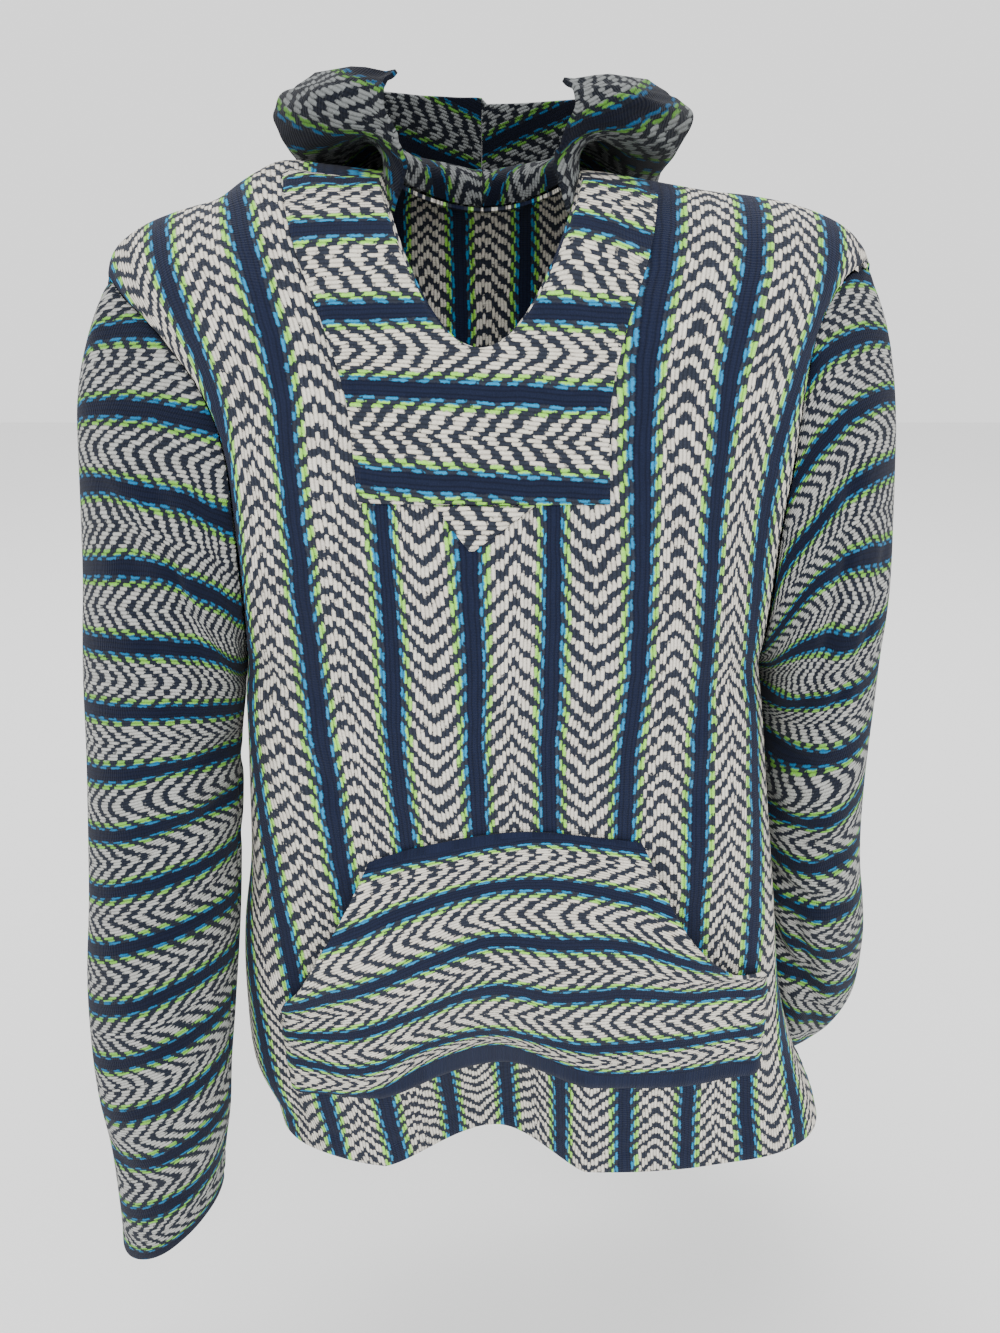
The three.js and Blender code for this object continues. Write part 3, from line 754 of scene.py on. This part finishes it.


# The woven pattern. Its input is a place on the cloth in millimetres: across, then along,
# the stripes. It gives the colour of the yarn, with painted shade in the grooves between yarns, and its
# height.
def weaveGroup():
    tree = bpy.data.node_groups.new("blanketWeave", "ShaderNodeTree")
    face = tree.interface
    face.new_socket("place", in_out="INPUT", socket_type="NodeSocketVector")
    for name in clothColours:
        socket = face.new_socket(name, in_out="INPUT", socket_type="NodeSocketColor")
        socket.default_value = linearColour(cloth[name])
    face.new_socket("colour", in_out="OUTPUT", socket_type="NodeSocketColor")
    face.new_socket("height", in_out="OUTPUT", socket_type="NodeSocketFloat")
    given = tree.nodes.new("NodeGroupInput")
    result = tree.nodes.new("NodeGroupOutput")
    place = given.outputs["place"]
    split = tree.nodes.new("ShaderNodeSeparateXYZ")
    tree.links.new(place, split.inputs[0])

    wobble = noiseOf(tree, place, weaving["wobbleScale"], 2)
    ragged = noiseOf(tree, place, weaving["raggedScale"], 2)
    patches = noiseOf(tree, place, weaving["patchScale"], 3)
    fibres = noiseOf(tree, place, weaving["fibreScale"], 4, weaving["fibreStretch"])

    wobble = calculate(tree, "SUBTRACT", wobble, 0.5)
    across = calculate(tree, "MULTIPLY_ADD", wobble, weaving["acrossWobble"], split.outputs[0])
    along = calculate(tree, "MULTIPLY_ADD", wobble, weaving["alongWobble"], split.outputs[1])
    bands = calculate(tree, "DIVIDE", across, cloth["period"])
    band = calculate(tree, "FLOOR", bands)
    inBand = calculate(tree, "SUBTRACT", bands, band)
    middle = calculate(tree, "ABSOLUTE", calculate(tree, "SUBTRACT", inBand, 0.5))
    fromNavy = calculate(tree, "MULTIPLY_ADD", middle, -cloth["period"], cloth["period"] / 2)
    # Band 0 has the point of its herringbone off its middle.
    peak = calculate(tree, "COMPARE", band, 0.0, 0.5)
    peak = calculate(tree, "MULTIPLY_ADD", peak, -cloth["peakShift"], 0.5)
    off = calculate(tree, "ABSOLUTE", calculate(tree, "SUBTRACT", inBand, peak))
    off = calculate(tree, "MULTIPLY", off, cloth["period"])
    # The herringbone points up and down by turns, but bands -1 and 0 point the same way,
    # and so do bands 4 and 5.
    turned = calculate(tree, "ADD", band, calculate(tree, "LESS_THAN", band, -0.5))
    turned = calculate(tree, "ADD", turned, calculate(tree, "GREATER_THAN", band, 4.5))
    odd = calculate(tree, "FLOORED_MODULO", turned, 2.0)
    way = calculate(tree, "MULTIPLY_ADD", odd, -2.0, 1.0)

    yarns = calculate(tree, "MULTIPLY_ADD", off, 1 / cloth["yarnWidth"], 0.5)
    yarn = calculate(tree, "FLOOR", yarns)
    inYarn = calculate(tree, "SUBTRACT", calculate(tree, "SUBTRACT", yarns, yarn), 0.5)
    yarnRound = calculate(tree, "POWER", calculate(tree, "ABSOLUTE", inYarn), 2.0)
    yarnRound = calculate(tree, "MULTIPLY_ADD", yarnRound, -4.0, 1.0)
    yarnOff = calculate(tree, "MULTIPLY", yarn, cloth["yarnWidth"])

    pair = tree.nodes.new("ShaderNodeCombineXYZ")
    tree.links.new(yarn, pair.inputs[0])
    tree.links.new(band, pair.inputs[1])
    chance = tree.nodes.new("ShaderNodeTexWhiteNoise")
    chance.noise_dimensions = "2D"
    tree.links.new(pair.outputs[0], chance.inputs["Vector"])
    jitter = calculate(
        tree, "MULTIPLY_ADD", chance.outputs["Value"], weaving["yarnJitter"], -weaving["yarnJitter"] / 2
    )

    slanted = calculate(tree, "MULTIPLY", yarnOff, cloth["twillSlope"])
    slanted = calculate(tree, "MULTIPLY_ADD", slanted, way, along)
    slanted = calculate(tree, "ADD", slanted, jitter)
    ragged = calculate(tree, "SUBTRACT", ragged, 0.5)
    slanted = calculate(tree, "MULTIPLY_ADD", ragged, weaving["raggedFloats"], slanted)
    turns = calculate(tree, "DIVIDE", slanted, cloth["twillRepeat"])
    phase = calculate(tree, "FRACT", turns)
    spread = calculate(tree, "ABSOLUTE", calculate(tree, "SUBTRACT", phase, 0.5))
    triple = tree.nodes.new("ShaderNodeCombineXYZ")
    tree.links.new(yarn, triple.inputs[0])
    tree.links.new(band, triple.inputs[1])
    tree.links.new(calculate(tree, "FLOOR", turns), triple.inputs[2])
    chosen = tree.nodes.new("ShaderNodeTexWhiteNoise")
    tree.links.new(triple.outputs[0], chosen.inputs["Vector"])
    reach = calculate(
        tree, "MULTIPLY_ADD", chosen.outputs["Value"], weaving["floatVariety"], weaving["shortestFloat"]
    )
    reach = calculate(tree, "MULTIPLY_ADD", yarnRound, weaving["floatRounding"], reach)
    pastFloat = calculate(tree, "SUBTRACT", spread, reach)
    floatMask = step(tree, pastFloat, weaving["floatEdge"], -weaving["floatEdge"])

    edge = calculate(tree, "MULTIPLY_ADD", ragged, weaving["raggedStripes"], fromNavy)
    softness = weaving["navyEdge"]
    pastNavy = step(tree, edge, cloth["navyHalf"] - softness, cloth["navyHalf"] + softness)
    softness = weaving["yarnEdge"]
    pastBlue = step(tree, edge, cloth["blueEnd"] - softness, cloth["blueEnd"] + softness)
    pastLime = step(tree, edge, cloth["limeEnd"] - softness, cloth["limeEnd"] + softness)

    warm = blendColours(tree, patches, given.outputs["beigeShade"], given.outputs["beige"])
    light = blendColours(tree, pastBlue, given.outputs["blue"], given.outputs["lime"])
    light = blendColours(tree, pastLime, light, warm)
    shown = calculate(tree, "MULTIPLY", floatMask, pastNavy)
    ground = blendColours(tree, pastNavy, given.outputs["navy"], given.outputs["weft"])
    colour = blendColours(tree, shown, ground, light)

    groove = calculate(tree, "MULTIPLY_ADD", yarnRound, 0.5, 0.5)
    groove = calculate(tree, "MULTIPLY", groove, shown)
    weftLines = calculate(tree, "SINE", calculate(tree, "MULTIPLY", along, weaving["weftLines"]))
    weftLines = calculate(tree, "MULTIPLY_ADD", weftLines, weaving["weftHeight"], weaving["weftHeight"])
    height = calculate(tree, "MULTIPLY_ADD", fibres, weaving["fibreHeight"], groove)
    height = calculate(tree, "ADD", height, weftLines)

    shade = calculate(tree, "ADD", fibres, weaving["fibreShade"])
    shade = calculate(tree, "MULTIPLY_ADD", chosen.outputs["Value"], weaving["yarnShade"], shade)
    # The colour darkens towards the edges of each yarn: painted shade in the grooves between yarns. It is
    # scaled by the fibres' and the floats' own random tones.
    toneAndGrooveShade = calculate(tree, "MULTIPLY_ADD", yarnRound, weaving["paintedGrooveShade"], 1 - weaving["paintedGrooveShade"])
    toneAndGrooveShade = calculate(tree, "MULTIPLY", toneAndGrooveShade, shade)
    scaled = tree.nodes.new("ShaderNodeVectorMath")
    scaled.operation = "SCALE"
    tree.links.new(colour, scaled.inputs[0])
    tree.links.new(toneAndGrooveShade, scaled.inputs["Scale"])
    tree.links.new(scaled.outputs[0], result.inputs["colour"])
    tree.links.new(height, result.inputs["height"])
    return tree


weave = weaveGroup()


def clothMaterial(name, tintAndShade):
    material = bpy.data.materials.new(name)
    material.use_nodes = True
    tree = material.node_tree
    finish = tree.nodes["Principled BSDF"]
    finish.inputs["Roughness"].default_value = cloth["roughness"]
    finish.inputs["Specular IOR Level"].default_value = cloth["specular"]
    finish.inputs["Sheen Weight"].default_value = cloth["fuzz"]
    finish.inputs["Sheen Roughness"].default_value = cloth["fuzzRoughness"]
    place = tree.nodes.new("ShaderNodeUVMap")
    place.uv_map = "cloth"
    group = tree.nodes.new("ShaderNodeGroup")
    group.node_tree = weave
    # Scales the weave's colours; for the sleeves and the hood this is painted shade.
    for key in clothColours:
        base = linearColour(cloth[key])
        group.inputs[key].default_value = tuple(base[i] * tintAndShade[i] for i in range(3)) + (1,)
    tree.links.new(place.outputs["UV"], group.inputs["place"])
    tree.links.new(group.outputs["colour"], finish.inputs["Base Color"])
    bump = tree.nodes.new("ShaderNodeBump")
    bump.inputs["Strength"].default_value = cloth["bumpStrength"]
    bump.inputs["Distance"].default_value = cloth["bumpHeight"] * millimetre
    tree.links.new(group.outputs["height"], bump.inputs["Height"])
    tree.links.new(bump.outputs["Normal"], finish.inputs["Normal"])
    return material


# Each cloth's colours are scaled by a factor. On the sleeves and the hood this factor is painted shade: it
# darkens them because the light falls off on the sleeves and the hood lies in shade.
bodyCloth = clothMaterial("bodyCloth", (1, 1, 1))
shadedSleeveCloth = clothMaterial("shadedSleeveCloth", (0.55, 0.59, 0.64))
shadedHoodCloth = clothMaterial("shadedHoodCloth", (0.23, 0.26, 0.3))
yokeCloth = clothMaterial("yokeCloth", (1, 1, 0.98))
pocketCloth = clothMaterial("pocketCloth", (1, 1, 1))
print("cloth materials made")


def edgeDistances(points):
    across = arcLength(points, 1)
    up = arcLength(points, 0)
    return across, across[:, -1:] - across, up, up[-1:, :] - up


levels = panelLevels(74, 60)
columns = panelColumns(46, 64)
frontGrid = panelGrid(panels["front"], body["frontNeckDepth"], levels, columns)
backGrid = panelGrid(panels["back"], body["backNeckDepth"], levels, columns)


def finishedPanel(points, creases, facing):
    left, right, low, high = edgeDistances(points)
    normal = gridNormals(points) * facing
    x = points[..., 0]
    z = points[..., 2]
    depth = creaseDepth(creases, x, z)
    inside = smooth(0, 30, left) * smooth(0, 30, right) * smooth(0, 30, high)
    depth = depth * inside
    depth = depth + seamDip(left) + seamDip(right) + seamDip(high)
    depth = depth + puckers(left, low) + puckers(right, low)
    depth = depth + hemLine(low, body["hemTurn"])
    depth = depth - 0.5 * unevenness(x, z) * inside
    return points - normal * depth[..., None], left, low


def frontStripeU(points, left):
    z = points[..., 2]
    x = points[..., 0]
    stripeX = [curve(z) for curve in curvesOf(frontStripes)]
    u = np.zeros_like(x)
    for i in range(len(x)):
        crossings = [np.interp(stripe[i].mean(), x[i], left[i]) for stripe in stripeX]
        places = cloth["period"] * (firstFrontStripe + np.arange(len(crossings)))
        rowU = np.interp(left[i], crossings, places)
        before = left[i] < crossings[0]
        after = left[i] > crossings[-1]
        rowU[before] = places[0] - (crossings[0] - left[i][before])
        rowU[after] = places[-1] + (left[i][after] - crossings[-1])
        u[i] = rowU
    return u


front, frontLeft, frontLow = finishedPanel(frontGrid, frontCreases, 1)
frontUv = np.stack([frontStripeU(frontGrid, frontLeft), frontLow], axis=-1)
frontPanel = clothPiece("frontPanel", front, False, frontUv, ["front_panel"], bodyCloth)

back, backLeft, backLow = finishedPanel(backGrid, backCreases, -1)
backMiddle = np.array([np.interp(0.0, columns, row) for row in backLeft])
backUv = np.stack([backLeft - backMiddle[:, None] + backMiddlePlace, backLow], axis=-1)
backPanel = clothPiece("backPanel", back, True, backUv, ["back_panel"], bodyCloth)
print("body panels made")


def sleeveLoop(column):
    start = int(np.searchsorted(levels, body["armpitHeight"]))
    down = frontGrid[start:, column][::-1]
    up = backGrid[start + 1 : -1, column]
    return np.concatenate([down, up])


def sleevePoints(rings, column, rowCount):
    loop = sleeveLoop(column)
    count = len(loop)
    places = np.linspace(0, len(rings) - 1, rowCount)
    read = [curveOf(range(len(rings)), values)(places) for values in zip(*rings)]
    outer = np.stack(read[:3], axis=-1)
    inner = np.stack(read[3:6], axis=-1)
    half = read[6]
    keep = read[7]
    middle = (outer + inner) / 2
    out = outer - middle
    along = np.gradient(middle, axis=0)
    along /= np.linalg.norm(along, axis=-1, keepdims=True)
    fore = np.cross(along, out)
    fore /= np.linalg.norm(fore, axis=-1, keepdims=True)
    fore = np.where(fore[:, 1:2] > 0, -fore, fore) * half[:, None]
    angle = 2 * math.pi * np.arange(count) / count
    ring = (
        middle[:, None]
        + out[:, None] * np.cos(angle)[None, :, None]
        + fore[:, None] * np.sin(angle)[None, :, None]
    )
    shape = loop - ring[0]
    ring = ring + shape[None] * keep[:, None, None]
    # The cloth is joined along the underside of the arm.
    halfway = count // 2
    order = np.concatenate([np.arange(halfway, count), np.arange(0, halfway + 1)])
    turned = np.degrees(angle)[order]
    turned[: count - halfway] -= 360
    return ring[:, order], places, turned


# Depth of creases whose ends are given by a row place and a column place of a rolled form.
def placedCreaseDepth(creases, rows, columns, rowLength, columnLength):
    total = np.zeros((len(rows), len(columns)))
    for row, column, endRow, endColumn, reach, depth in creases:
        down = (rows[:, None] - row) * rowLength
        over = (columns[None, :] - column) * columnLength
        end = (endRow - row) * rowLength, (endColumn - column) * columnLength
        total = total + creaseDepth([(0, 0, *end, reach, depth)], down, over)
    return total


def makeSleeve(name, rings, column, stripes, shifts, creases, node, flip):
    points, places, turned = sleevePoints(rings, column, sleeve["rows"])
    normal = gridNormals(points) * (-1 if flip else 1)
    down = arcLength(points, 0)
    around = arcLength(points, 1)
    middle = around[:, len(turned) // 2][:, None]
    depth = placedCreaseDepth(creases, places, turned, sleeve["ringLength"], sleeve["turnLength"] / 360)
    fromCuff = down[-1:] - down
    depth = depth * smooth(0, sleeve["topEase"], down) * smooth(0, sleeve["cuffEase"], fromCuff)
    depth = depth + seamDip(down) + puckers(down, around)
    depth = depth + seamDip(around, 1.4, 3) + seamDip(around[:, -1:] - around, 1.4, 3)
    depth = depth + hemLine(fromCuff, body["hemTurn"])
    v = around - middle
    depth = depth - 0.6 * unevenness(v + 40, down) * smooth(0, 20, down)
    shaped = points - normal * depth[..., None]
    stripe = curvesOf(stripes)[0](places)[:, None] * cloth["period"]
    shift = curvesOf(shifts)[0](places)[:, None]
    u = stripe + shift * (1 - np.cos(np.radians(turned)))[None, :] / 2
    uv = np.stack([u, v], axis=-1)
    return clothPiece(name, shaped, flip, uv, [node], shadedSleeveCloth)


leftSleeve = makeSleeve(
    "leftSleeve",
    leftRings,
    0,
    leftSleeveStripes,
    leftSleeveShifts,
    leftSleeveCreases,
    "left_sleeve",
    True,
)
rightSleeve = makeSleeve(
    "rightSleeve",
    rightRings,
    -1,
    rightSleeveStripes,
    rightSleeveShifts,
    rightSleeveCreases,
    "right_sleeve",
    False,
)
print("sleeves made")


hood = {
    "columns": 84,
    "frontShare": 2 / 14,
    "frontPoints": 7,
    "backPoints": 72,
    "degreeLength": 2.1,
    "sectionLength": 190,
    "seamEase": 20,
    "rimEase": 10,
    "rimTurn": 16,
    "rightDrop": 4,
}
# Each half: name, node, place of a navy stripe inside its rim, row that starts its weave.
hoodHalves = [
    ("hoodLeft", "hood_left", 35, -1),
    ("hoodRight", "hood_right", 12, 0),
]


# The hood starts on the front, goes round the back of the neck and ends on the front.
def neckSeam():
    start = body["neckMiddleX"]
    half = body["neckHalfWidth"]
    front = 1 - hood["frontShare"]
    firstX = start + half * np.linspace(-front, -1, hood["frontPoints"])[:-1]
    backX = start + half * np.linspace(-1, 1, hood["backPoints"])
    lastX = start + half * np.linspace(1, front, hood["frontPoints"])[1:]
    pieces = []
    for x, panel, depth in (
        (firstX, panels["front"], body["frontNeckDepth"]),
        (backX, panels["back"], body["backNeckDepth"]),
        (lastX, panels["front"], body["frontNeckDepth"]),
    ):
        pieces.append(panelPoints(panel, x, topEdge(x, depth)))
    return np.concatenate(pieces)


# A smooth line through the points of each section, at even steps.
def sectionLines(points, count, fine=24):
    before = 2 * points[:, :1] - points[:, 1:2]
    after = 2 * points[:, -1:] - points[:, -2:-1]
    full = np.concatenate([before, points, after], axis=1)
    gaps = np.sqrt(np.linalg.norm(np.diff(full, axis=1), axis=-1, keepdims=True))
    pieces = []
    share = (np.arange(fine) / fine)[None, :, None]
    for i in range(points.shape[1] - 1):
        p0, p1, p2, p3 = [full[:, i + k : i + k + 1] for k in range(4)]
        d0, d1, d2 = [gaps[:, i + k : i + k + 1] for k in range(3)]
        t1 = ((p1 - p0) / d0 - (p2 - p0) / (d0 + d1) + (p2 - p1) / d1) * d1
        t2 = ((p2 - p1) / d1 - (p3 - p1) / (d1 + d2) + (p3 - p2) / d2) * d1
        cubic = 2 * p1 - 2 * p2 + t1 + t2
        square = -3 * p1 + 3 * p2 - 2 * t1 - t2
        pieces.append(p1 + t1 * share + square * share**2 + cubic * share**3)
    pieces.append(points[:, -1:])
    line = np.concatenate(pieces, axis=1)
    length = arcLength(line, 1)
    even = []
    for i in range(len(line)):
        wanted = np.linspace(0, length[i, -1], count)
        even.append(np.stack([np.interp(wanted, length[i], line[i, :, k]) for k in range(3)], axis=-1))
    return np.array(even)


# Creases of the hood: bearing and share of the section at both ends, reach, depth.
hoodCreases = [
    (64, 0.52, 92, 0.66, 9, 3),
    (70, 0.8, 118, 0.7, 9, 2.4),
    (96, 0.5, 140, 0.56, 12, 3),
    (120, 0.86, 168, 0.74, 14, 3),
    (140, 0.4, 172, 0.52, 12, 3.4),
    (-64, 0.66, -88, 0.5, 8, 4),
    (-62, 0.84, -84, 0.68, 7, 3.4),
    (-92, 0.82, -124, 0.62, 10, 3),
    (-100, 0.46, -140, 0.6, 12, 3),
    (-146, 0.84, -170, 0.6, 14, 3),
    (-138, 0.44, -172, 0.46, 12, 3),
]


def hoodPoints(seam, count):
    offX = seam[:, 0] - body["neckMiddleX"]
    reach = np.hypot(offX, seam[:, 1])
    bearing = np.degrees(np.arctan2(np.abs(offX), -seam[:, 1]))
    away = np.stack([offX / reach, seam[:, 1] / reach], axis=-1)
    columns = curvesOf(hoodSections)
    points = [seam]
    for distance, height in zip(columns[::2], columns[1::2]):
        r = distance(bearing)
        z = height(bearing)
        z = z - np.where(offX > 0, hood["rightDrop"] * smooth(30, 60, z), 0)
        points.append(np.stack([body["neckMiddleX"] + away[:, 0] * r, away[:, 1] * r, z], axis=-1))
    lines = sectionLines(np.stack(points, axis=1), count)
    return lines, np.where(offX < 0, bearing, -bearing)


seam = neckSeam()
hoodAll, hoodBearing = hoodPoints(seam, hood["columns"])
hoodAcross = arcLength(hoodAll, 1)
hoodMiddle = (len(hoodAll) - 1) // 2
hoodAround = arcLength(hoodAll, 0)
hoodAround = hoodAround - hoodAround[hoodMiddle]
hoodShares = np.linspace(0, 1, hood["columns"])
hoodDepth = placedCreaseDepth(
    hoodCreases, hoodBearing, hoodShares, hood["degreeLength"], hood["sectionLength"]
)
hoodRim = hoodAcross[:, -1:] - hoodAcross
seamEase = smooth(0, hood["seamEase"], hoodAcross)
hoodDepth = hoodDepth * seamEase * smooth(0, hood["rimEase"], hoodRim)
hoodDepth = hoodDepth - 0.8 * unevenness(hoodAround, hoodAcross) * seamEase
hoodDepth = hoodDepth + hemLine(hoodRim, hood["rimTurn"]) + seamDip(hoodAround)
hoodShaped = hoodAll - gridNormals(hoodAll) * hoodDepth[..., None]
hoodPoint = {"hoodLeft": hoodShaped[: hoodMiddle + 1], "hoodRight": hoodShaped[hoodMiddle:]}
hoodPieces = {}
for name, node, navyPlace, startRow in hoodHalves:
    points = hoodPoint[name]
    noUv = np.zeros((*points.shape[:2], 2))
    hoodPieces[name] = clothPiece(name, points, False, noUv, [node], shadedHoodCloth)
    layFlat(hoodPieces[name], points, navyPlace, startRow)
print("hood made")


# Points the given distance over the cloth of the front panel, whose creases show through.
def overlayPoints(x, z, lift):
    grid = panelPoints(panels["front"], x, z)
    normal = panelNormals(panels["front"], x, z)
    depth = creaseDepth(frontCreases, x, z) * 0.6
    return grid + normal * (lift + cloth["thickness"] - depth)[..., None]


yokeLeft, yokeRight = curvesOf(yokeEdges)
yokeShare = (1 - (1 - np.linspace(0, 1, yoke["rows"])) ** 2)[:, None]
yokeHeight = mix(yoke["bottom"], body["neckTopHeight"], yokeShare)
neckStart = body["neckMiddleX"] - body["neckHalfWidth"]
neckEnd = body["neckMiddleX"] + body["neckHalfWidth"]
limb = np.linspace(0, 1, yoke["limbColumns"] + 1)[None, :]
underNeck = np.linspace(neckStart, neckEnd, yoke["neckColumns"])[None, :] + 0 * yokeShare
yokeX = np.concatenate(
    [
        mix(yokeLeft(yokeHeight), neckStart, limb[:, :-1]),
        underNeck,
        mix(neckEnd, yokeRight(yokeHeight), limb[:, 1:]),
    ],
    axis=1,
)
yokeOff = np.clip(np.abs(yokeX - body["neckMiddleX"]) / body["neckHalfWidth"], 0, 1)
yokeMargin = mix(yoke["topMargin"], yoke["sideMargin"], yokeOff**2)
yokeZ = mix(yoke["bottom"], topEdge(yokeX, body["frontNeckDepth"]) - yokeMargin, yokeShare)
yokeFlat = overlayPoints(yokeX, yokeZ, yoke["lift"] + 0 * yokeX)
fromLeft, fromRight, fromBottom, fromTop = edgeDistances(yokeFlat)
sewn = np.minimum(np.minimum(fromLeft, fromRight), fromBottom)
yokeDip = seamDip(sewn, 1.5, 3) + seamDip(fromTop, 1.2, 3) + hemLine(sewn, yoke["stitchLine"], 0.6, 1.5)
yokeDip = yokeDip - yoke["ruffle"] * (1 + unevenness(yokeX, yokeZ)) * smooth(6, 24, sewn)
yokePoints = overlayPoints(yokeX, yokeZ, yoke["lift"] - yokeDip)
yokeStripe = curvesOf(yokeStripes)[0]
# The stripes lean a little, and drop at the right shoulder.
yokeLean = np.where(yokeX < -10, mix(-0.05, 0.03, smooth(-110, -60, yokeZ)), -0.05)
yokeSlope = yokeLean * (yokeX + 10)
yokeSlope = yokeSlope - 0.25 * (yokeX - 64) * smooth(-70, -25, yokeZ) * smooth(20, 45, yokeX)
yokeUv = np.stack([yokeStripe(yokeZ) * cloth["period"] + yokeSlope, -yokeX], axis=-1)
yokePanel = clothPiece("yoke", yokePoints, False, yokeUv, ["yoke"], yokeCloth)

tabShare = np.linspace(0, 1, tab["rows"])[:, None]
tabWidth = mix(tab["pointShare"], 1, tabShare)
tabLeft = mix(tab["pointX"], tab["leftX"], tabWidth)
tabRight = mix(tab["pointX"], tab["rightX"], tabWidth)
tabX = mix(tabLeft, tabRight, np.linspace(0, 1, tab["columns"])[None, :])
tabZ = yoke["bottom"] - tab["gap"] - tab["height"] * (1 - tabShare) + 0 * tabX
tabFlat = overlayPoints(tabX, tabZ, yoke["lift"] + 0 * tabX)
fromLeft, fromRight, fromPoint, _ = edgeDistances(tabFlat)
tabDip = seamDip(np.minimum(fromLeft, fromRight), 1.2, 2.4) + seamDip(fromPoint, 1.2, 2.4)
tabPoints = overlayPoints(tabX, tabZ, yoke["lift"] - tabDip)
tabUv = np.stack([yokeStripe(tabZ) * cloth["period"], -tabX], axis=-1)
tabPiece = clothPiece("yokeTab", tabPoints, False, tabUv, ["yoke_tab"], yokeCloth)

pocketLeftX, pocketLeftZ, pocketRightX, pocketRightZ = curvesOf(pocketEdges)
pocketShare = np.linspace(0, 1, pocket["rows"])[:, None]
pocketAcross = np.linspace(0, 1, pocket["columns"])[None, :]
arch = mix(pocket["bottomArch"], pocket["topArch"], pocketShare) * np.sin(math.pi * pocketAcross)
pocketX = mix(pocketLeftX(pocketShare), pocketRightX(pocketShare), pocketAcross)
pocketZ = mix(pocketLeftZ(pocketShare), pocketRightZ(pocketShare), pocketAcross) + arch
opening = np.maximum((pocketShare - pocket["mouthStart"]) / (1 - pocket["mouthStart"]), 0)
mouth = pocket["mouth"] * np.sin(math.pi * opening) * (1 - 2 * pocketAcross) ** 2
ease = pocket["ease"] * np.sin(math.pi * pocketShare) * np.sin(math.pi * pocketAcross)
pocketLift = pocket["lift"] + mouth + ease
pocketFlat = overlayPoints(pocketX, pocketZ, pocketLift)
fromLeft, fromRight, fromBottom, fromTop = edgeDistances(pocketFlat)
sides = np.minimum(fromLeft, fromRight)
below = smooth(pocket["mouthStart"] + 0.04, pocket["mouthStart"] - 0.02, pocketShare)
sewnDip = seamDip(fromBottom, 2, 3.4) + seamDip(fromTop, 2, 3.4) + seamDip(sides, 2, 3.4) * below
turnLine = hemLine(np.minimum(sides, fromTop), pocket["hemLine"], 0.6, 1.6)
pocketDip = sewnDip + turnLine - 0.5 * unevenness(pocketX, pocketZ) * smooth(0, 20, sides)
pocketPoints = overlayPoints(pocketX, pocketZ, pocketLift - pocketDip)
stripeHeights = np.array([curveOf(pocketStripePlaces, row)(pocketX) for row in pocketStripes])
stripeUs = np.arange(len(pocketStripes))[::-1] * cloth["period"]
pocketU = np.zeros_like(pocketX)
for i, j in np.ndindex(pocketX.shape):
    pocketU[i, j] = np.interp(pocketZ[i, j], stripeHeights[:, i, j], stripeUs)
pocketUv = np.stack([pocketU, pocketX], axis=-1)
pocketPanel = clothPiece("pocket", pocketPoints, False, pocketUv, ["pocket"], pocketCloth)
print("yoke and pocket made")

studio = {
    "floorHeight": -0.86,
    "floorHalf": 6,
    "floorColour": (0.86, 0.86, 0.86, 1),
    "floorRoughness": 0.9,
    "airColour": (1, 1, 1, 1),
    "airStrength": 1.5,
}
floor = bpy.data.objects.new("floor", bpy.data.meshes.new("floor"))
floorCorners = [
    (side * studio["floorHalf"], end * studio["floorHalf"], studio["floorHeight"])
    for side, end in ((-1, -1), (1, -1), (1, 1), (-1, 1))
]
floor.data.from_pydata(floorCorners, [], [(0, 1, 2, 3)])
bpy.context.scene.collection.objects.link(floor)
pale = bpy.data.materials.new("paleFloor")
pale.use_nodes = True
paleFinish = pale.node_tree.nodes["Principled BSDF"]
paleFinish.inputs["Base Color"].default_value = studio["floorColour"]
paleFinish.inputs["Roughness"].default_value = studio["floorRoughness"]
floor.data.materials.append(pale)

world = bpy.data.worlds.new("studio")
world.use_nodes = True
air = world.node_tree.nodes["Background"]
air.inputs["Color"].default_value = studio["airColour"]
air.inputs["Strength"].default_value = studio["airStrength"]
bpy.context.scene.world = world

# Area lights: name, place, turn in degrees, size, power.
lights = [
    ("keyLight", (0.3, -1.9, 0.9), (62, 0, 9), 0.9, 22),
    ("fillLight", (-0.6, -1.9, 0.3), (78, 0, -17), 1.2, 6),
    ("floorLight", (0.0, 1.5, 1.6), (0, 0, 0), 2.4, 44),
]
for name, location, turn, size, energy in lights:
    light = bpy.data.lights.new(name, "AREA")
    light.size = size
    light.energy = energy
    lamp = bpy.data.objects.new(name, light)
    lamp.location = location
    lamp.rotation_euler = [math.radians(value) for value in turn]
    bpy.context.scene.collection.objects.link(lamp)

view = {"place": (0, -0.677, -0.05), "tilt": 70, "lens": 28.36, "sensor": 36, "nearest": 0.01}
camera = bpy.data.objects.new("camera", bpy.data.cameras.new("camera"))
camera.location = view["place"]
camera.rotation_euler = (math.radians(view["tilt"]), 0, 0)
camera.data.lens = view["lens"]
camera.data.sensor_width = view["sensor"]
camera.data.clip_start = view["nearest"]
bpy.context.scene.collection.objects.link(camera)
bpy.context.scene.camera = camera

print("scene ready")
